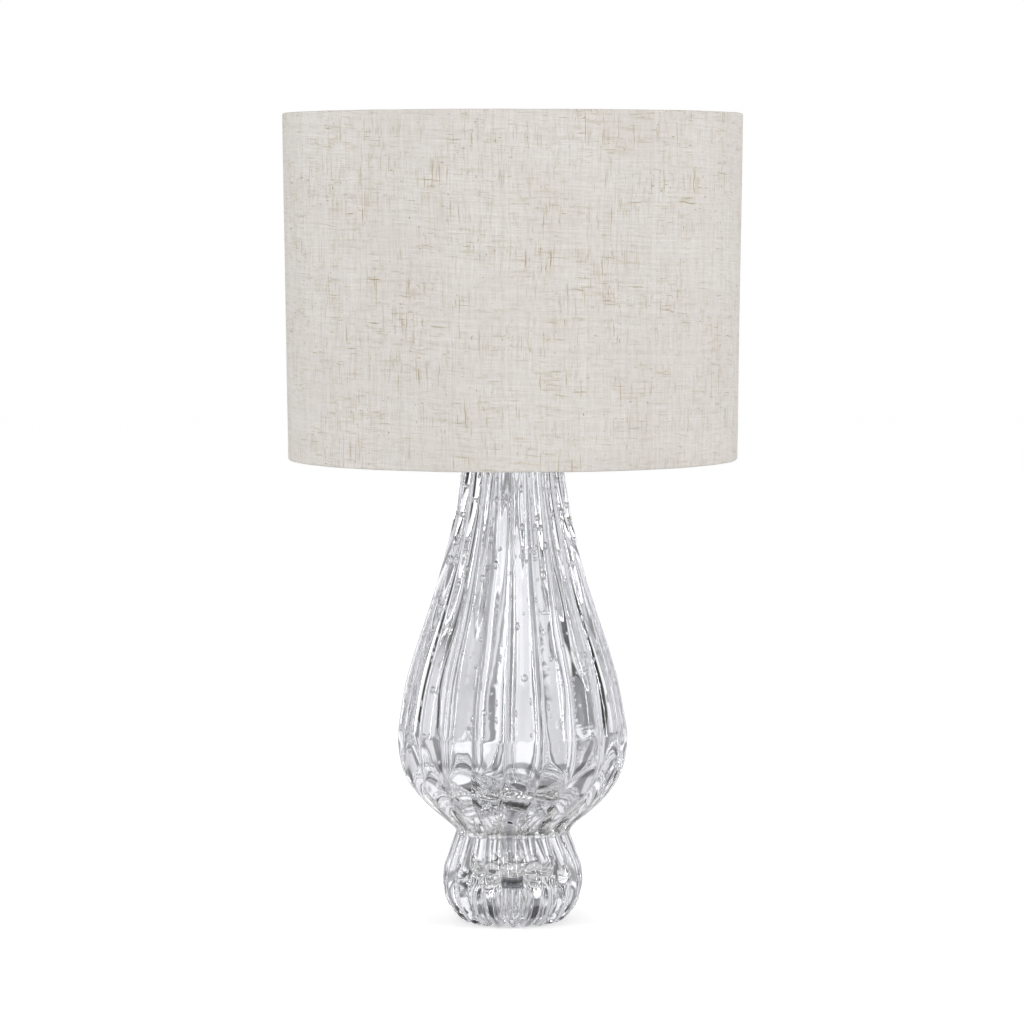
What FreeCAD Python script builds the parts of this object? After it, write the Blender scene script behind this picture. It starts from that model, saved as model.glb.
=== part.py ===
# Table lamp: a fluted, waisted base of thick blown glass, and a rolled-edge drum shade on a harp.
# A threaded tube clamps the glass between a nut under its foot and the metalwork on its neck.
# Millimetres, +Z up. The origin is on the ground, under the middle of the lamp. The lamp faces -Y.
import FreeCAD, Part

import math
import os

from FreeCAD import Vector

# ---- Glass base: crest radii, flute depths and heights along the outside ----
flute_count = 20
flute_chords = 4                  # across each flute
flute_twist = 9.0                 # degrees that the flutes turn between the waist and the belly
inner_flute = 0.8                 # by which the cavity swells behind each flute
foot_contact_radius = 41.0
foot_contact_flute = 3.4
foot_heel_radius = 52.0
foot_heel_height = 10.0
foot_radius = 61.0
foot_widest_height = 38.0
foot_flute = 5.0
foot_shoulder_radius = 56.5
foot_shoulder_height = 59.0
waist_radius = 50.0
waist_height = 79.0
waist_flute = 3.2
under_belly_radius = 80.0
under_belly_height = 108.0
belly_radius = 100.5
belly_height = 161.0
belly_flute = 6.2
shoulder_radius = 86.0
shoulder_height = 237.0
shoulder_flute = 5.2
throat_radius = 61.0
throat_height = 317.0
throat_flute = 3.8
neck_radius = 46.0
neck_height = 391.0
neck_flute = 2.8
rim_radius = 39.0
rim_flute = 0.6
glass_height = 455.0
glass_wall = 6.0                  # from the valley of a flute to the cavity
body_steps = 10                   # bands between the waist and the rim
foot_steps = 4                    # bands between the ground and the waist
cavity_floor_height = 111.0
cavity_floor_radius = 30.0
cavity_heel_radius = 75.0
cavity_heel_height = 131.0
foot_mouth_radius = 33.0
foot_ceiling_height = 52.0
foot_ceiling_radius = 28.0
glass_bore_radius = 6.5

# ---- Rod and its clamping pieces under the glass ----
rod_radius = 5.0
rod_bore_radius = 3.6
rod_tail = 3.0                    # of rod below the nut
foot_seal_radius = 22.0
foot_seal_thickness = 2.0
foot_washer_radius = 24.0
foot_washer_thickness = 2.0
nut_across_flats = 17.0
nut_height = 8.0
washer_clearance = 0.3            # between the rod and what slips over it

# ---- Neck metalwork ----
gasket_thickness = 2.0
gasket_margin = 0.5               # of rim left bare on each side of the gasket
cap_sheet = 1.2
cap_clearance = 1.6               # between the glass rim and the cap's skirt
cap_skirt = 7.0                   # of skirt below the top of the glass
coupling_radius = 11.0
coupling_height = 24.0
thread_engagement = 8.0           # of the rod, and of the nipple, inside the coupling
inlet_bore_radius = 3.2
inlet_stem_radius = 4.5
inlet_flange_radius = 6.5
inlet_flange_thickness = 2.0
inlet_flat_depth = 0.8            # of the flat that the inlet bush seats on
inlet_inner_gap = 0.6             # between the bush and the coupling's bore

# ---- Harp, saddle and sleeves ----
saddle_sheet = 1.5
saddle_width = 13.0
saddle_half_span = 27.0
ear_width = 5.0
ear_height = 12.0
lock_nut_across_flats = 16.0
lock_nut_height = 3.0
harp_height = 203.7               # from the saddle to the seat of the shade's hub
harp_wire_radius = 1.8
wire_sides = 8                    # of the bent wires, drawn as bars with flats
leg_gap = 0.3                     # between a harp leg and its ear or the saddle
sleeve_travel = 10.0              # of a sleeve up its leg, to free the ear
sleeve_room = 2.0                 # of straight leg left above a raised sleeve
harp_half_width = 53.0
harp_widening_height = 46.0       # over which each leg bends outwards
harp_crown_drop = 62.0            # over which each side bends back in under the top
harp_bend_steps = 4               # straight chords to each bend
stud_radius = 3.1
stud_length = 13.0
stud_seat_radius = 7.0
stud_seat_thickness = 2.0
stud_block_width = 9.0
stud_block_wall = 1.5             # of the block below the wire
sleeve_length = 15.0
sleeve_wall = 0.8
sleeve_collar = 2.0
sleeve_clearance = 0.2            # round the ear
sleeve_wire_clearance = 0.3

# ---- Lampholder ----
socket_neck_radius = 7.5
socket_neck_height = 4.5
socket_cap_height = 17.0
socket_height = 60.0
socket_sheet = 0.6
socket_cap_step = 4.0             # by which the shell sits down inside the cap
insulator_wall = 0.5
insulator_setback = 1.0           # of the insulator below the shell's rim
switch_block_height = 22.0
switch_block_lip = 0.4            # by which it stands out past the screw shell
terminal_flat_depth = 3.1         # of the flats that carry the terminals
terminal_flat_drop = 4.0          # from the top of the block to the top of those flats
screw_shell_room = 0.8            # round the bulb's cap
screw_shell_wall = 0.4
screw_shell_gap = 1.2             # from the screw shell to the insulator
screw_shell_height = 23.0
contact_radius = 4.0
contact_thickness = 1.6
terminal_head_radius = 3.2
terminal_head_thickness = 2.0
terminal_height = 10.0            # above the foot of the switch block
key_stem_radius = 1.6
key_stem_clearance = 0.08
key_hole_radius = 2.6             # in the shell and its insulator
key_height = 15.0                 # above the foot of the switch block
key_stem_root = 5.0               # from the axis to the inner end of the stem
key_stem_grip = 2.0               # of the stem inside the key
key_reach = 40.0                  # from the axis to the face of the key
key_length = 12.0
key_width = 17.0
key_thickness = 4.4
key_squareness = 0.6              # 1 would make the key an oval, 0 a rectangle
key_corners = 16

# ---- Bulb ----
bulb_seat_gap = 0.3
bulb_length = 108.0
bulb_radius = 30.0
bulb_flank_steps = 5
bulb_cap_radius = 13.0
bulb_glass_inset = 0.4            # of the glass inside the edge of the cap
bulb_cap_top = 25.0               # above the bulb's contact
bulb_contact_height = 1.6
bulb_insulator_height = 4.0
bulb_insulator_radius = 9.5
bulb_contact_radius = 3.5

# ---- Shade ----
shade_height = 300.0
shade_top_radius = 200.0
shade_taper = 4.0                 # by which the shade is narrower at its foot
shade_cloth = 0.8
shade_liner_thickness = 0.5
shade_glue = 0.2                  # between the cloth and the liner
hoop_sides = 72                   # of the rings and the liner
ring_wire = 3.4                   # across the square wire of the shade's rings
ring_gap = 0.15                   # between a ring and the cloth rolled round it
spider_drop = 16.0                # from the top of the shade down to the hub
spider_arm_count = 3
spider_arm_radius = 1.6
spider_weld = 0.6                 # by which the arms sink into the hub
spider_rise_start = 20.0          # radius where an arm starts to rise
spider_rise_end = 52.0            # radius where it is level with the ring
spider_rise_steps = 3
hub_radius = 14.0
hub_thickness = 1.6
hub_clearance = 0.6               # round the stud

# ---- Finial ----
finial_base_radius = 7.5
finial_arm_gap = 0.8              # from the finial's flange to the spider's arms
finial_base_height = 3.0
finial_stem_radius = 5.0
finial_below_rim = 0.5            # from the finial's top to the top of the shade
finial_bore_clearance = 0.3
finial_bore_room = 0.7            # over the end of the stud

round_sides = 24                  # of the round fittings, drawn as prisms

UP = Vector(0, 0, 1)
BACK = Vector(0, 1, 0)

# ---- Heights that follow from the sizes above, from the ground up ----
foot_washer_top = foot_ceiling_height - foot_seal_thickness
nut_top = foot_washer_top - foot_washer_thickness
nut_bottom = nut_top - nut_height
cap_underside = glass_height + gasket_thickness
cap_top = cap_underside + cap_sheet
rod_top = cap_top + thread_engagement
coupling_top = cap_top + coupling_height
nipple_bottom = coupling_top - thread_engagement
inlet_axis = Vector(0, 0, (rod_top + nipple_bottom) / 2)
saddle_top = coupling_top + saddle_sheet
socket_bottom = saddle_top + lock_nut_height
screw_shell_radius = bulb_cap_radius + screw_shell_room + screw_shell_wall
socket_radius = screw_shell_radius + screw_shell_gap + insulator_wall + socket_sheet
switch_block_radius = screw_shell_radius + switch_block_lip
switch_block_flat = switch_block_radius - terminal_flat_depth
socket_top = socket_bottom + socket_height
shell_bottom = socket_bottom + socket_cap_height - socket_cap_step
switch_block_bottom = socket_bottom + socket_neck_height + socket_sheet
switch_block_top = switch_block_bottom + switch_block_height
contact_top = switch_block_top + contact_thickness
bulb_bottom = contact_top + bulb_seat_gap
harp_bottom = saddle_top + leg_gap
harp_top = harp_bottom + harp_height
stud_seat_top = harp_top + stud_seat_thickness
stud_top = stud_seat_top + stud_length
hub_bottom = stud_seat_top + leg_gap
hub_top = hub_bottom + hub_thickness
lamp_height = hub_bottom + spider_drop
shade_bottom = lamp_height - shade_height
ring_offset = shade_cloth + ring_gap + ring_wire / 2
top_ring_height = lamp_height - ring_offset
bottom_ring_height = shade_bottom + ring_offset


# ---- Small builders ----
def polygon(radii, height, turn=0.0):
    """Corners round the lamp's axis, one for each radius. The first faces -Y, or is turned from there."""
    angles = [math.radians(360 * i / len(radii) - 90 + turn) for i in range(len(radii))]
    return [Vector(r * math.cos(a), r * math.sin(a), height) for r, a in zip(radii, angles)]


def flat_face(corners):
    return Part.Face(Part.makePolygon(corners + corners[:1]))


def prism(sides, radius, bottom, top):
    return flat_face(polygon([radius] * sides, bottom)).extrude(Vector(0, 0, top - bottom))


def drum(radius, bottom, top, bore=0.0):
    """A round piece about the lamp's axis, with a bore through it if one is given."""
    solid = prism(round_sides, radius, bottom, top)
    return solid.cut(prism(round_sides, bore, bottom, top)) if bore else solid


def pin(radius, start, length, along):
    """A truly round pin, or the hole for one."""
    return Part.makeCylinder(radius, length, start, along)


def frustum(sides, low_radius, bottom, high_radius, top):
    return faceted([polygon([low_radius] * sides, bottom), polygon([high_radius] * sides, top)])


def side(start, end):
    """One straight side of an outline. A long tapered side is a curve of degree one."""
    if start.x == end.x or start.distanceToPoint(end) < shade_height / 2:
        return Part.makeLine(start, end)
    curve = Part.BSplineCurve()
    curve.buildFromPolesMultsKnots([start, end], [2, 2], [0, 1], False, 1)
    return curve.toShape()


def turned(points):
    """Revolves a closed outline of (radius, height) points about the lamp's axis."""
    corners = [Vector(r, 0, z) for r, z in points]
    sides = [side(start, end) for start, end in zip(corners, corners[1:] + corners[:1])]
    return Part.Face(Part.Wire(sides)).revolve(Vector(0, 0, 0), UP, 360)


def faceted(outlines):
    """A solid of flat facets between outlines that have as many corners each, from the lowest up."""
    faces = [flat_face(outlines[0]), flat_face(outlines[-1])]
    for low, high in zip(outlines, outlines[1:]):
        for i in range(len(low)):
            a, b, c, d = low[i - 1], low[i], high[i], high[i - 1]
            if a.distanceToPoint(c) < b.distanceToPoint(d):
                faces += [flat_face([a, b, c]), flat_face([a, c, d])]
            else:
                faces += [flat_face([a, b, d]), flat_face([b, c, d])]
    return outward(Part.Solid(Part.makeShell(faces)))


def outward(solid):
    """The same solid with its faces turned outwards."""
    if solid.Volume < 0:
        solid.reverse()
    return solid


def hexagon_nut(across_flats, bottom, top):
    """A hexagon nut about the lamp's axis, bored for the rod."""
    return prism(6, across_flats / math.sqrt(3), bottom, top).cut(drum(rod_radius, bottom, top))


def spline(points):
    curve = Part.BSplineCurve()
    curve.interpolate(points)
    return curve


def sampled(points, steps):
    """Evenly stepped points on a smooth curve through the given points, ends included."""
    curve = spline(points)
    first, span = curve.FirstParameter, curve.LastParameter - curve.FirstParameter
    return [curve.value(first + span * i / steps) for i in range(steps + 1)]


def s_bend(start, end, steps):
    """Points after the first on an S-shaped bend that is upright at both ends."""
    ease = [(1 - math.cos(math.pi * i / steps)) / 2 for i in range(1, steps + 1)]
    return [Vector(start.x + (end.x - start.x) * e, 0, start.z + (end.z - start.z) * i / steps)
            for i, e in enumerate(ease, 1)]


def bent_wire(points, radius):
    """A wire through the points, mitred where it turns."""
    along = (points[1] - points[0]).normalize()
    across = BACK if along.isEqual(UP, 1e-6) else UP
    beside = along.cross(across)
    corners = [points[0] + across * (radius * math.cos(2 * math.pi * i / wire_sides))
               + beside * (radius * math.sin(2 * math.pi * i / wire_sides)) for i in range(wire_sides)]
    profile = Part.makePolygon(corners + corners[:1])
    return outward(Part.Wire(Part.makePolygon(points)).makePipeShell([profile], True, False, 1))


# ---- Glass ----
def flute_turn(height):
    """The flutes stand straight up to the waist, turn as the belly opens, and run on straight."""
    share = min(max((height - waist_height) / (belly_height - waist_height), 0), 1)
    return flute_twist * share * share * (3 - 2 * share)


def fluted_section(crest, depth, height, chords):
    """An outline of rounded flutes that meet in sharp valleys. In the foot, one crest faces -Y."""
    swell = [1 - (2 * i / chords) ** 2 for i in range(chords // 2 + 1)]
    lobe = swell + swell[-2:0:-1]
    radii = [crest - depth * (1 - share) for share in lobe * flute_count]
    return polygon(radii, height, flute_turn(height))


def fluted_loft(points, chords):
    """Flutes through (crest radius, flute depth, height) points."""
    return faceted([fluted_section(p.x, p.y, p.z, chords) for p in points])


def glass_outline():
    """(crest radius, flute depth, height) from the ground to the rim, with a sharp turn at the waist."""
    waist = Vector(waist_radius, waist_flute, waist_height)
    foot = sampled([
        Vector(foot_contact_radius, foot_contact_flute, 0),
        Vector(foot_heel_radius, foot_flute, foot_heel_height),
        Vector(foot_radius, foot_flute, foot_widest_height),
        Vector(foot_shoulder_radius, foot_flute, foot_shoulder_height),
        waist,
    ], foot_steps)
    body = sampled([
        waist,
        Vector(under_belly_radius, belly_flute, under_belly_height),
        Vector(belly_radius, belly_flute, belly_height),
        Vector(shoulder_radius, shoulder_flute, shoulder_height),
        Vector(throat_radius, throat_flute, throat_height),
        Vector(neck_radius, neck_flute, neck_height),
        Vector(rim_radius, rim_flute, glass_height),
    ], body_steps)
    return foot, body


def glass_base():
    """The blown body, solid from the waist up to the floor of its cavity."""
    body = glass_outline()[1]
    wall = [Vector(p.x - p.y - glass_wall, inner_flute, p.z)
            for p in body if p.z > cavity_heel_height]
    cavity = fluted_loft([
        Vector(cavity_floor_radius, inner_flute, cavity_floor_height),
        Vector(cavity_heel_radius, inner_flute, cavity_heel_height),
    ] + wall, 2)
    bore = drum(glass_bore_radius, waist_height, cavity_floor_height)
    return fluted_loft(body, flute_chords).cut(cavity).cut(bore)


def glass_foot():
    """The foot, pressed hollow. It is joined hot to the body at the waist."""
    foot = glass_outline()[0]
    hollow = fluted_loft(sampled([
        Vector(foot_mouth_radius, inner_flute, 0),
        Vector(foot_radius - foot_flute - glass_wall, inner_flute, foot_widest_height),
        Vector(foot_ceiling_radius, inner_flute, foot_ceiling_height),
    ], foot_steps - 1), 2)
    bore = drum(glass_bore_radius, foot_ceiling_height, waist_height)
    return fluted_loft(foot, flute_chords).cut(hollow).cut(bore)


# ---- Rod and foot clamp ----
def threaded_rod():
    return drum(rod_radius, nut_bottom - rod_tail, rod_top, rod_bore_radius)


def foot_seal():
    return drum(foot_seal_radius, foot_washer_top, foot_ceiling_height, rod_radius + washer_clearance)


def foot_washer():
    return drum(foot_washer_radius, nut_top, foot_washer_top, rod_radius + washer_clearance)


def foot_nut():
    return hexagon_nut(nut_across_flats, nut_bottom, nut_top)


# ---- Neck metalwork ----
def neck_gasket():
    inner = rim_radius - glass_wall + gasket_margin
    return drum(rim_radius - gasket_margin, glass_height, cap_underside, inner)


def neck_cap():
    """A spun cap: a skirt round the glass rim and a flat over the gasket."""
    inner, bottom = rim_radius + cap_clearance, glass_height - cap_skirt
    blank = drum(inner + cap_sheet, bottom, cap_top, rod_radius + washer_clearance)
    return blank.cut(drum(inner, bottom, cap_underside))


def inlet_drum(radius, start, end):
    """A round piece about the axis of the cord's inlet, which runs to the back."""
    solid = drum(radius, start, end)
    solid.rotate(Vector(0, 0, 0), Vector(1, 0, 0), -90)
    return solid.translated(inlet_axis)


def neck_coupling():
    """A tapped barrel with a seat and a hole for the inlet bush at its back."""
    body = drum(coupling_radius, cap_top, coupling_top, rod_radius)
    seat, reach = coupling_radius - inlet_flat_depth, inlet_flange_radius + washer_clearance
    corner = Vector(-coupling_radius, seat, inlet_axis.z - reach)
    flat = Part.makeBox(2 * coupling_radius, coupling_radius, 2 * reach, corner)
    return body.cut(flat).cut(inlet_drum(inlet_stem_radius, 0, coupling_radius))


def inlet_bush():
    inner = rod_radius + inlet_inner_gap
    seat = coupling_radius - inlet_flat_depth
    stem = inlet_drum(inlet_stem_radius, inner, seat)
    flange = inlet_drum(inlet_flange_radius, seat, seat + inlet_flange_thickness)
    bore = pin(inlet_bore_radius, inlet_axis, 2 * coupling_radius, BACK)
    return stem.fuse(flange).cut(bore).removeSplitter()


def upper_nipple():
    return drum(rod_radius, nipple_bottom, socket_bottom + socket_neck_height, rod_bore_radius)


# ---- Harp ----
ear_inner = saddle_half_span - saddle_sheet
leg_axis = ear_inner - leg_gap - harp_wire_radius
leg_straight = sleeve_length + sleeve_travel + sleeve_room
sleeve_axis = (saddle_half_span + leg_axis - harp_wire_radius) / 2
sleeve_bore_radius = math.hypot(saddle_half_span - sleeve_axis, ear_width / 2) + sleeve_clearance


def harp_saddle():
    """A bent strip with a hole for the nipple and a narrow ear turned up at each end."""
    corner = Vector(-ear_inner, -saddle_width / 2, coupling_top)
    strip = Part.makeBox(2 * ear_inner, saddle_width, saddle_sheet, corner)
    ears = []
    for x in (-saddle_half_span, ear_inner):
        corner = Vector(x, -ear_width / 2, coupling_top)
        ears.append(Part.makeBox(saddle_sheet, ear_width, saddle_sheet + ear_height, corner))
    return strip.fuse(ears).cut(drum(rod_radius, coupling_top, saddle_top)).removeSplitter()


def saddle_nut():
    return hexagon_nut(lock_nut_across_flats, saddle_top, socket_bottom)


def harp_bow():
    """Two straight legs that widen round the bulb and close in an elliptical crown."""
    foot = Vector(leg_axis, 0, harp_bottom)
    knee = foot + UP * leg_straight
    hip = Vector(harp_half_width, 0, knee.z + harp_widening_height)
    crown = Vector(0, 0, harp_top - harp_wire_radius)
    arch = []
    for i in range(harp_bend_steps):
        turn = math.radians(90 * i / harp_bend_steps)
        drop = harp_crown_drop * (1 - math.sin(turn))
        arch.append(Vector(hip.x * math.cos(turn), 0, crown.z - drop))
    half = [foot, knee] + s_bend(knee, hip, harp_bend_steps) + arch
    return bent_wire(half + [crown] + [Vector(-p.x, 0, p.z) for p in reversed(half)], harp_wire_radius)


def harp_stud():
    """The block that the bow passes through, the seat for the shade's hub and the stud for the finial."""
    half, low = stud_block_width / 2, harp_top - 2 * harp_wire_radius - stud_block_wall
    block = Part.makeBox(2 * half, 2 * half, harp_top - low, Vector(-half, -half, low))
    seat = drum(stud_seat_radius, harp_top, stud_seat_top)
    stud = drum(stud_radius, stud_seat_top, stud_top)
    return block.fuse([seat, stud]).cut(harp_bow()).removeSplitter()


def harp_sleeve(side):
    """A ferrule that drops over a harp leg and its ear, and holds them together."""
    top = harp_bottom + sleeve_length
    tube = drum(sleeve_bore_radius + sleeve_wall, harp_bottom, top)
    tube = tube.cut(drum(sleeve_bore_radius, harp_bottom, top - sleeve_collar))
    tube.translate(Vector(side * sleeve_axis, 0, 0))
    wire_hole = drum(harp_wire_radius + sleeve_wire_clearance, harp_bottom, top)
    wire_hole.translate(Vector(side * leg_axis, 0, 0))
    return tube.cut(wire_hole)


# ---- Lampholder ----
key_root = Vector(0, -key_stem_root, switch_block_bottom + key_height)


def key_bore(radius):
    return pin(radius, key_root, key_reach, -BACK)


def socket_cap():
    """The cap that screws onto the nipple. The shell stands in its rim."""
    shoulder = socket_bottom + socket_neck_height
    neck = drum(socket_neck_radius, socket_bottom, shoulder, rod_radius)
    cup = drum(socket_radius + socket_sheet, shoulder, shell_bottom + socket_cap_step)
    hollow = drum(socket_radius, shoulder + socket_sheet, shell_bottom + socket_cap_step)
    return neck.fuse(cup.cut(hollow).cut(drum(rod_radius, shoulder, socket_top))).removeSplitter()


def socket_shell():
    tube = drum(socket_radius, shell_bottom, socket_top, socket_radius - socket_sheet)
    return tube.cut(key_bore(key_hole_radius))


def socket_insulator():
    outer = socket_radius - socket_sheet
    tube = drum(outer, shell_bottom, socket_top - insulator_setback, outer - insulator_wall)
    return tube.cut(key_bore(key_hole_radius))


def switch_block():
    block = drum(switch_block_radius, switch_block_bottom, switch_block_top)
    for side in (-1, 1):
        x = switch_block_flat if side > 0 else -switch_block_flat - switch_block_radius
        corner = Vector(x, -switch_block_radius, switch_block_bottom)
        height = switch_block_height - terminal_flat_drop
        block = block.cut(Part.makeBox(switch_block_radius, 2 * switch_block_radius, height, corner))
    return block.cut(key_bore(key_stem_radius + key_stem_clearance))


def terminal_screws():
    height = switch_block_bottom + terminal_height
    heads = []
    for side in (-1, 1):
        head = drum(terminal_head_radius, switch_block_flat, switch_block_flat + terminal_head_thickness)
        head.rotate(Vector(0, 0, 0), BACK, side * 90)
        heads.append(head.translated(Vector(0, 0, height)))
    return Part.makeCompound(heads)


def screw_shell():
    return drum(screw_shell_radius, switch_block_top, switch_block_top + screw_shell_height,
                screw_shell_radius - screw_shell_wall)


def centre_contact():
    return drum(contact_radius, switch_block_top, contact_top)


def key_stem():
    length = key_reach - key_length - key_stem_root + key_stem_grip
    return pin(key_stem_radius, key_root, length, -BACK)


def key_paddle():
    """A flat key with rounded corners, pressed onto the stem."""
    middle = key_length / 2 - key_reach
    corners = []
    for i in range(key_corners):
        turn = 2 * math.pi * (i + 0.5) / key_corners
        x, y = [math.copysign(abs(share) ** key_squareness, share)
                for share in (math.cos(turn), math.sin(turn))]
        corners.append(Vector(x * key_width / 2, middle + y * key_length / 2, 0))
    paddle = flat_face(corners).extrude(Vector(0, 0, key_thickness))
    paddle.translate(Vector(0, 0, key_root.z - key_thickness / 2))
    return paddle.cut(key_stem())


# ---- Bulb ----
def bulb_envelope():
    """A standard pear-shaped bulb: a ball that runs down into a neck in one S-shaped line."""
    neck = Vector(bulb_cap_radius - bulb_glass_inset, 0, bulb_bottom + bulb_cap_top)
    centre = Vector(bulb_radius, 0, bulb_bottom + bulb_length - bulb_radius)
    flank = [neck] + s_bend(neck, centre, bulb_flank_steps)
    crown = []
    for turn in (24, 46, 64, 80):
        out, up = math.cos(math.radians(turn)), math.sin(math.radians(turn))
        crown.append(Vector(bulb_radius * out, 0, centre.z + bulb_radius * up))
    rows = [polygon([p.x] * round_sides, p.z) for p in flank + crown]
    return faceted(rows).removeSplitter()


def bulb_cap():
    return drum(bulb_cap_radius, bulb_bottom + bulb_insulator_height, bulb_bottom + bulb_cap_top)


def bulb_insulator():
    bottom = bulb_bottom + bulb_contact_height
    return drum(bulb_insulator_radius, bottom, bulb_bottom + bulb_insulator_height)


def bulb_contact():
    return drum(bulb_contact_radius, bulb_bottom, bulb_bottom + bulb_contact_height)


# ---- Shade ----
def shade_radius(height):
    """The outside radius of the shade at a height."""
    return shade_top_radius - shade_taper * (lamp_height - height) / shade_height


def ring_radius(height):
    return shade_radius(height) - ring_offset


def shade_cover():
    """The cloth: a tapered wall, turned in under the bottom ring and over the top one."""
    def edge(end, inside):
        lip = shade_radius(end) - 2 * ring_offset
        return [(shade_radius(end), end), (lip, end),
                (lip, inside), (shade_radius(inside) - shade_cloth, inside)]

    foot = edge(shade_bottom, shade_bottom + shade_cloth)
    head = edge(lamp_height, lamp_height - shade_cloth)
    return turned(foot + list(reversed(head)))


def shade_liner():
    """The stiff white sheet that the cloth is laminated to."""
    low, high = shade_bottom + 2 * ring_offset, lamp_height - 2 * ring_offset
    low_radius, high_radius = [shade_radius(z) - shade_cloth - shade_glue for z in (low, high)]
    inside = frustum(hoop_sides, low_radius - shade_liner_thickness, low,
                     high_radius - shade_liner_thickness, high)
    return frustum(hoop_sides, low_radius, low, high_radius, high).cut(inside).removeSplitter()


def shade_ring(height):
    half, radius = ring_wire / 2, ring_radius(height)
    hoop = prism(hoop_sides, radius + half, height - half, height + half)
    return hoop.cut(prism(hoop_sides, radius - half, height - half, height + half))


def spider():
    """The hub and the arms that hang it from the top ring."""
    solid = drum(hub_radius, hub_bottom, hub_top, stud_radius + hub_clearance)
    level = hub_top + spider_arm_radius - spider_weld
    rise, run = top_ring_height - level, spider_rise_end - spider_rise_start
    profile = [(finial_base_radius + finial_arm_gap, level)]
    for i in range(spider_rise_steps + 1):
        share = i / spider_rise_steps
        lift = rise * (1 - math.cos(math.pi * share)) / 2
        profile.append((spider_rise_start + run * share, level + lift))
    profile.append((ring_radius(top_ring_height) - ring_wire / 2, top_ring_height))
    for i in range(spider_arm_count):
        angle = math.radians(90 + 360 * i / spider_arm_count)
        arm = [Vector(r * math.cos(angle), r * math.sin(angle), z) for r, z in profile]
        solid = solid.fuse(bent_wire(arm, spider_arm_radius))
    return solid


# ---- Finial ----
def finial():
    """A tapped stem with a flange that bears on the hub."""
    bottom = hub_top + leg_gap
    flange = drum(finial_base_radius, bottom, bottom + finial_base_height)
    stem = drum(finial_stem_radius, bottom, lamp_height - finial_below_rim)
    bore = drum(stud_radius + finial_bore_clearance, bottom, stud_top + finial_bore_room)
    return flange.fuse(stem).removeSplitter().cut(bore)


lamp = {
    "glass_base": glass_base,
    "glass_foot": glass_foot,
    "foot_seal": foot_seal,
    "foot_washer": foot_washer,
    "foot_nut": foot_nut,
    "threaded_rod": threaded_rod,
    "neck_gasket": neck_gasket,
    "neck_cap": neck_cap,
    "neck_coupling": neck_coupling,
    "inlet_bush": inlet_bush,
    "upper_nipple": upper_nipple,
    "harp_saddle": harp_saddle,
    "saddle_nut": saddle_nut,
    "harp_bow": harp_bow,
    "harp_stud": harp_stud,
    "harp_sleeve_left": lambda: harp_sleeve(-1),
    "harp_sleeve_right": lambda: harp_sleeve(1),
    "socket_cap": socket_cap,
    "socket_shell": socket_shell,
    "socket_insulator": socket_insulator,
    "switch_block": switch_block,
    "terminal_screws": terminal_screws,
    "screw_shell": screw_shell,
    "centre_contact": centre_contact,
    "key_stem": key_stem,
    "key_paddle": key_paddle,
    "bulb_envelope": bulb_envelope,
    "bulb_cap": bulb_cap,
    "bulb_insulator": bulb_insulator,
    "bulb_contact": bulb_contact,
    "shade_cover": shade_cover,
    "shade_liner": shade_liner,
    "shade_top_ring": lambda: shade_ring(top_ring_height),
    "shade_bottom_ring": lambda: shade_ring(bottom_ring_height),
    "shade_spider": spider,
    "finial": finial,
}

os.makedirs("parts", exist_ok=True)
for name, build in lamp.items():
    shape = build()
    shape.exportStep(f"parts/{name}.step")
    print(f"{name}: {len(shape.Solids)} solid(s), {shape.Volume / 1000:.2f} cm3, valid {shape.isValid()}")
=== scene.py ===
# Table lamp with a fluted, bubbled glass base and a linen drum shade.
# Sizes in the dictionaries are millimetres and degrees; meshes are made in metres.
import bpy
import bmesh
import math
import random
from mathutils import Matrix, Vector, noise


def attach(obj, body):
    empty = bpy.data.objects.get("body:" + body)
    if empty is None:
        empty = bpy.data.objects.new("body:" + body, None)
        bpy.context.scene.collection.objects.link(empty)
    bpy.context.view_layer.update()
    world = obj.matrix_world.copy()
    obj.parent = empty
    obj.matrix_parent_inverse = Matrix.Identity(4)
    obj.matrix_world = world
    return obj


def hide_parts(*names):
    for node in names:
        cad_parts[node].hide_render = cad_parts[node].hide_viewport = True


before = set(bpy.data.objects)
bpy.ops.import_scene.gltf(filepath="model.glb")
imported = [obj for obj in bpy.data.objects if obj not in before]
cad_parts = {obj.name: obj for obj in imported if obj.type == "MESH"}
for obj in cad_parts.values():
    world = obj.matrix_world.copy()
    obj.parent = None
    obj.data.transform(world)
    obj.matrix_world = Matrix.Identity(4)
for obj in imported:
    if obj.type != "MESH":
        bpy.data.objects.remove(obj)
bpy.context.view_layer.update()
mm = 0.001


# tools for colours, outlines and meshes
def srgb(red, green, blue):
    # screen colour, 0 to 255, to the linear values that the nodes want
    def linear(value):
        value /= 255
        return value / 12.92 if value <= 0.04045 else ((value + 0.055) / 1.055) ** 2.4
    return (linear(red), linear(green), linear(blue), 1)


def polar(radius, angle, height):
    return radius * math.cos(angle), radius * math.sin(angle), height


def ease(share):
    share = min(max(share, 0), 1)
    return share * share * (3 - 2 * share)


def blend(low, high, share):
    return low + (high - low) * share


def softened(outline, size, closed=True, arc=3):
    # rounds the corners of an outline by up to size
    result = []
    for i, corner in enumerate(outline):
        if not closed and i in (0, len(outline) - 1):
            result.append(tuple(corner))
            continue
        here = Vector(corner)
        before = Vector(outline[i - 1]) - here
        after = Vector(outline[(i + 1) % len(outline)]) - here
        reach = min(size, 0.45 * before.length, 0.45 * after.length)
        start = here + before.normalized() * reach
        end = here + after.normalized() * reach
        for k in range(arc + 1):
            t = k / arc
            result.append(tuple(start * (1 - t) ** 2 + here * 2 * t * (1 - t) + end * t * t))
    return result


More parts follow.
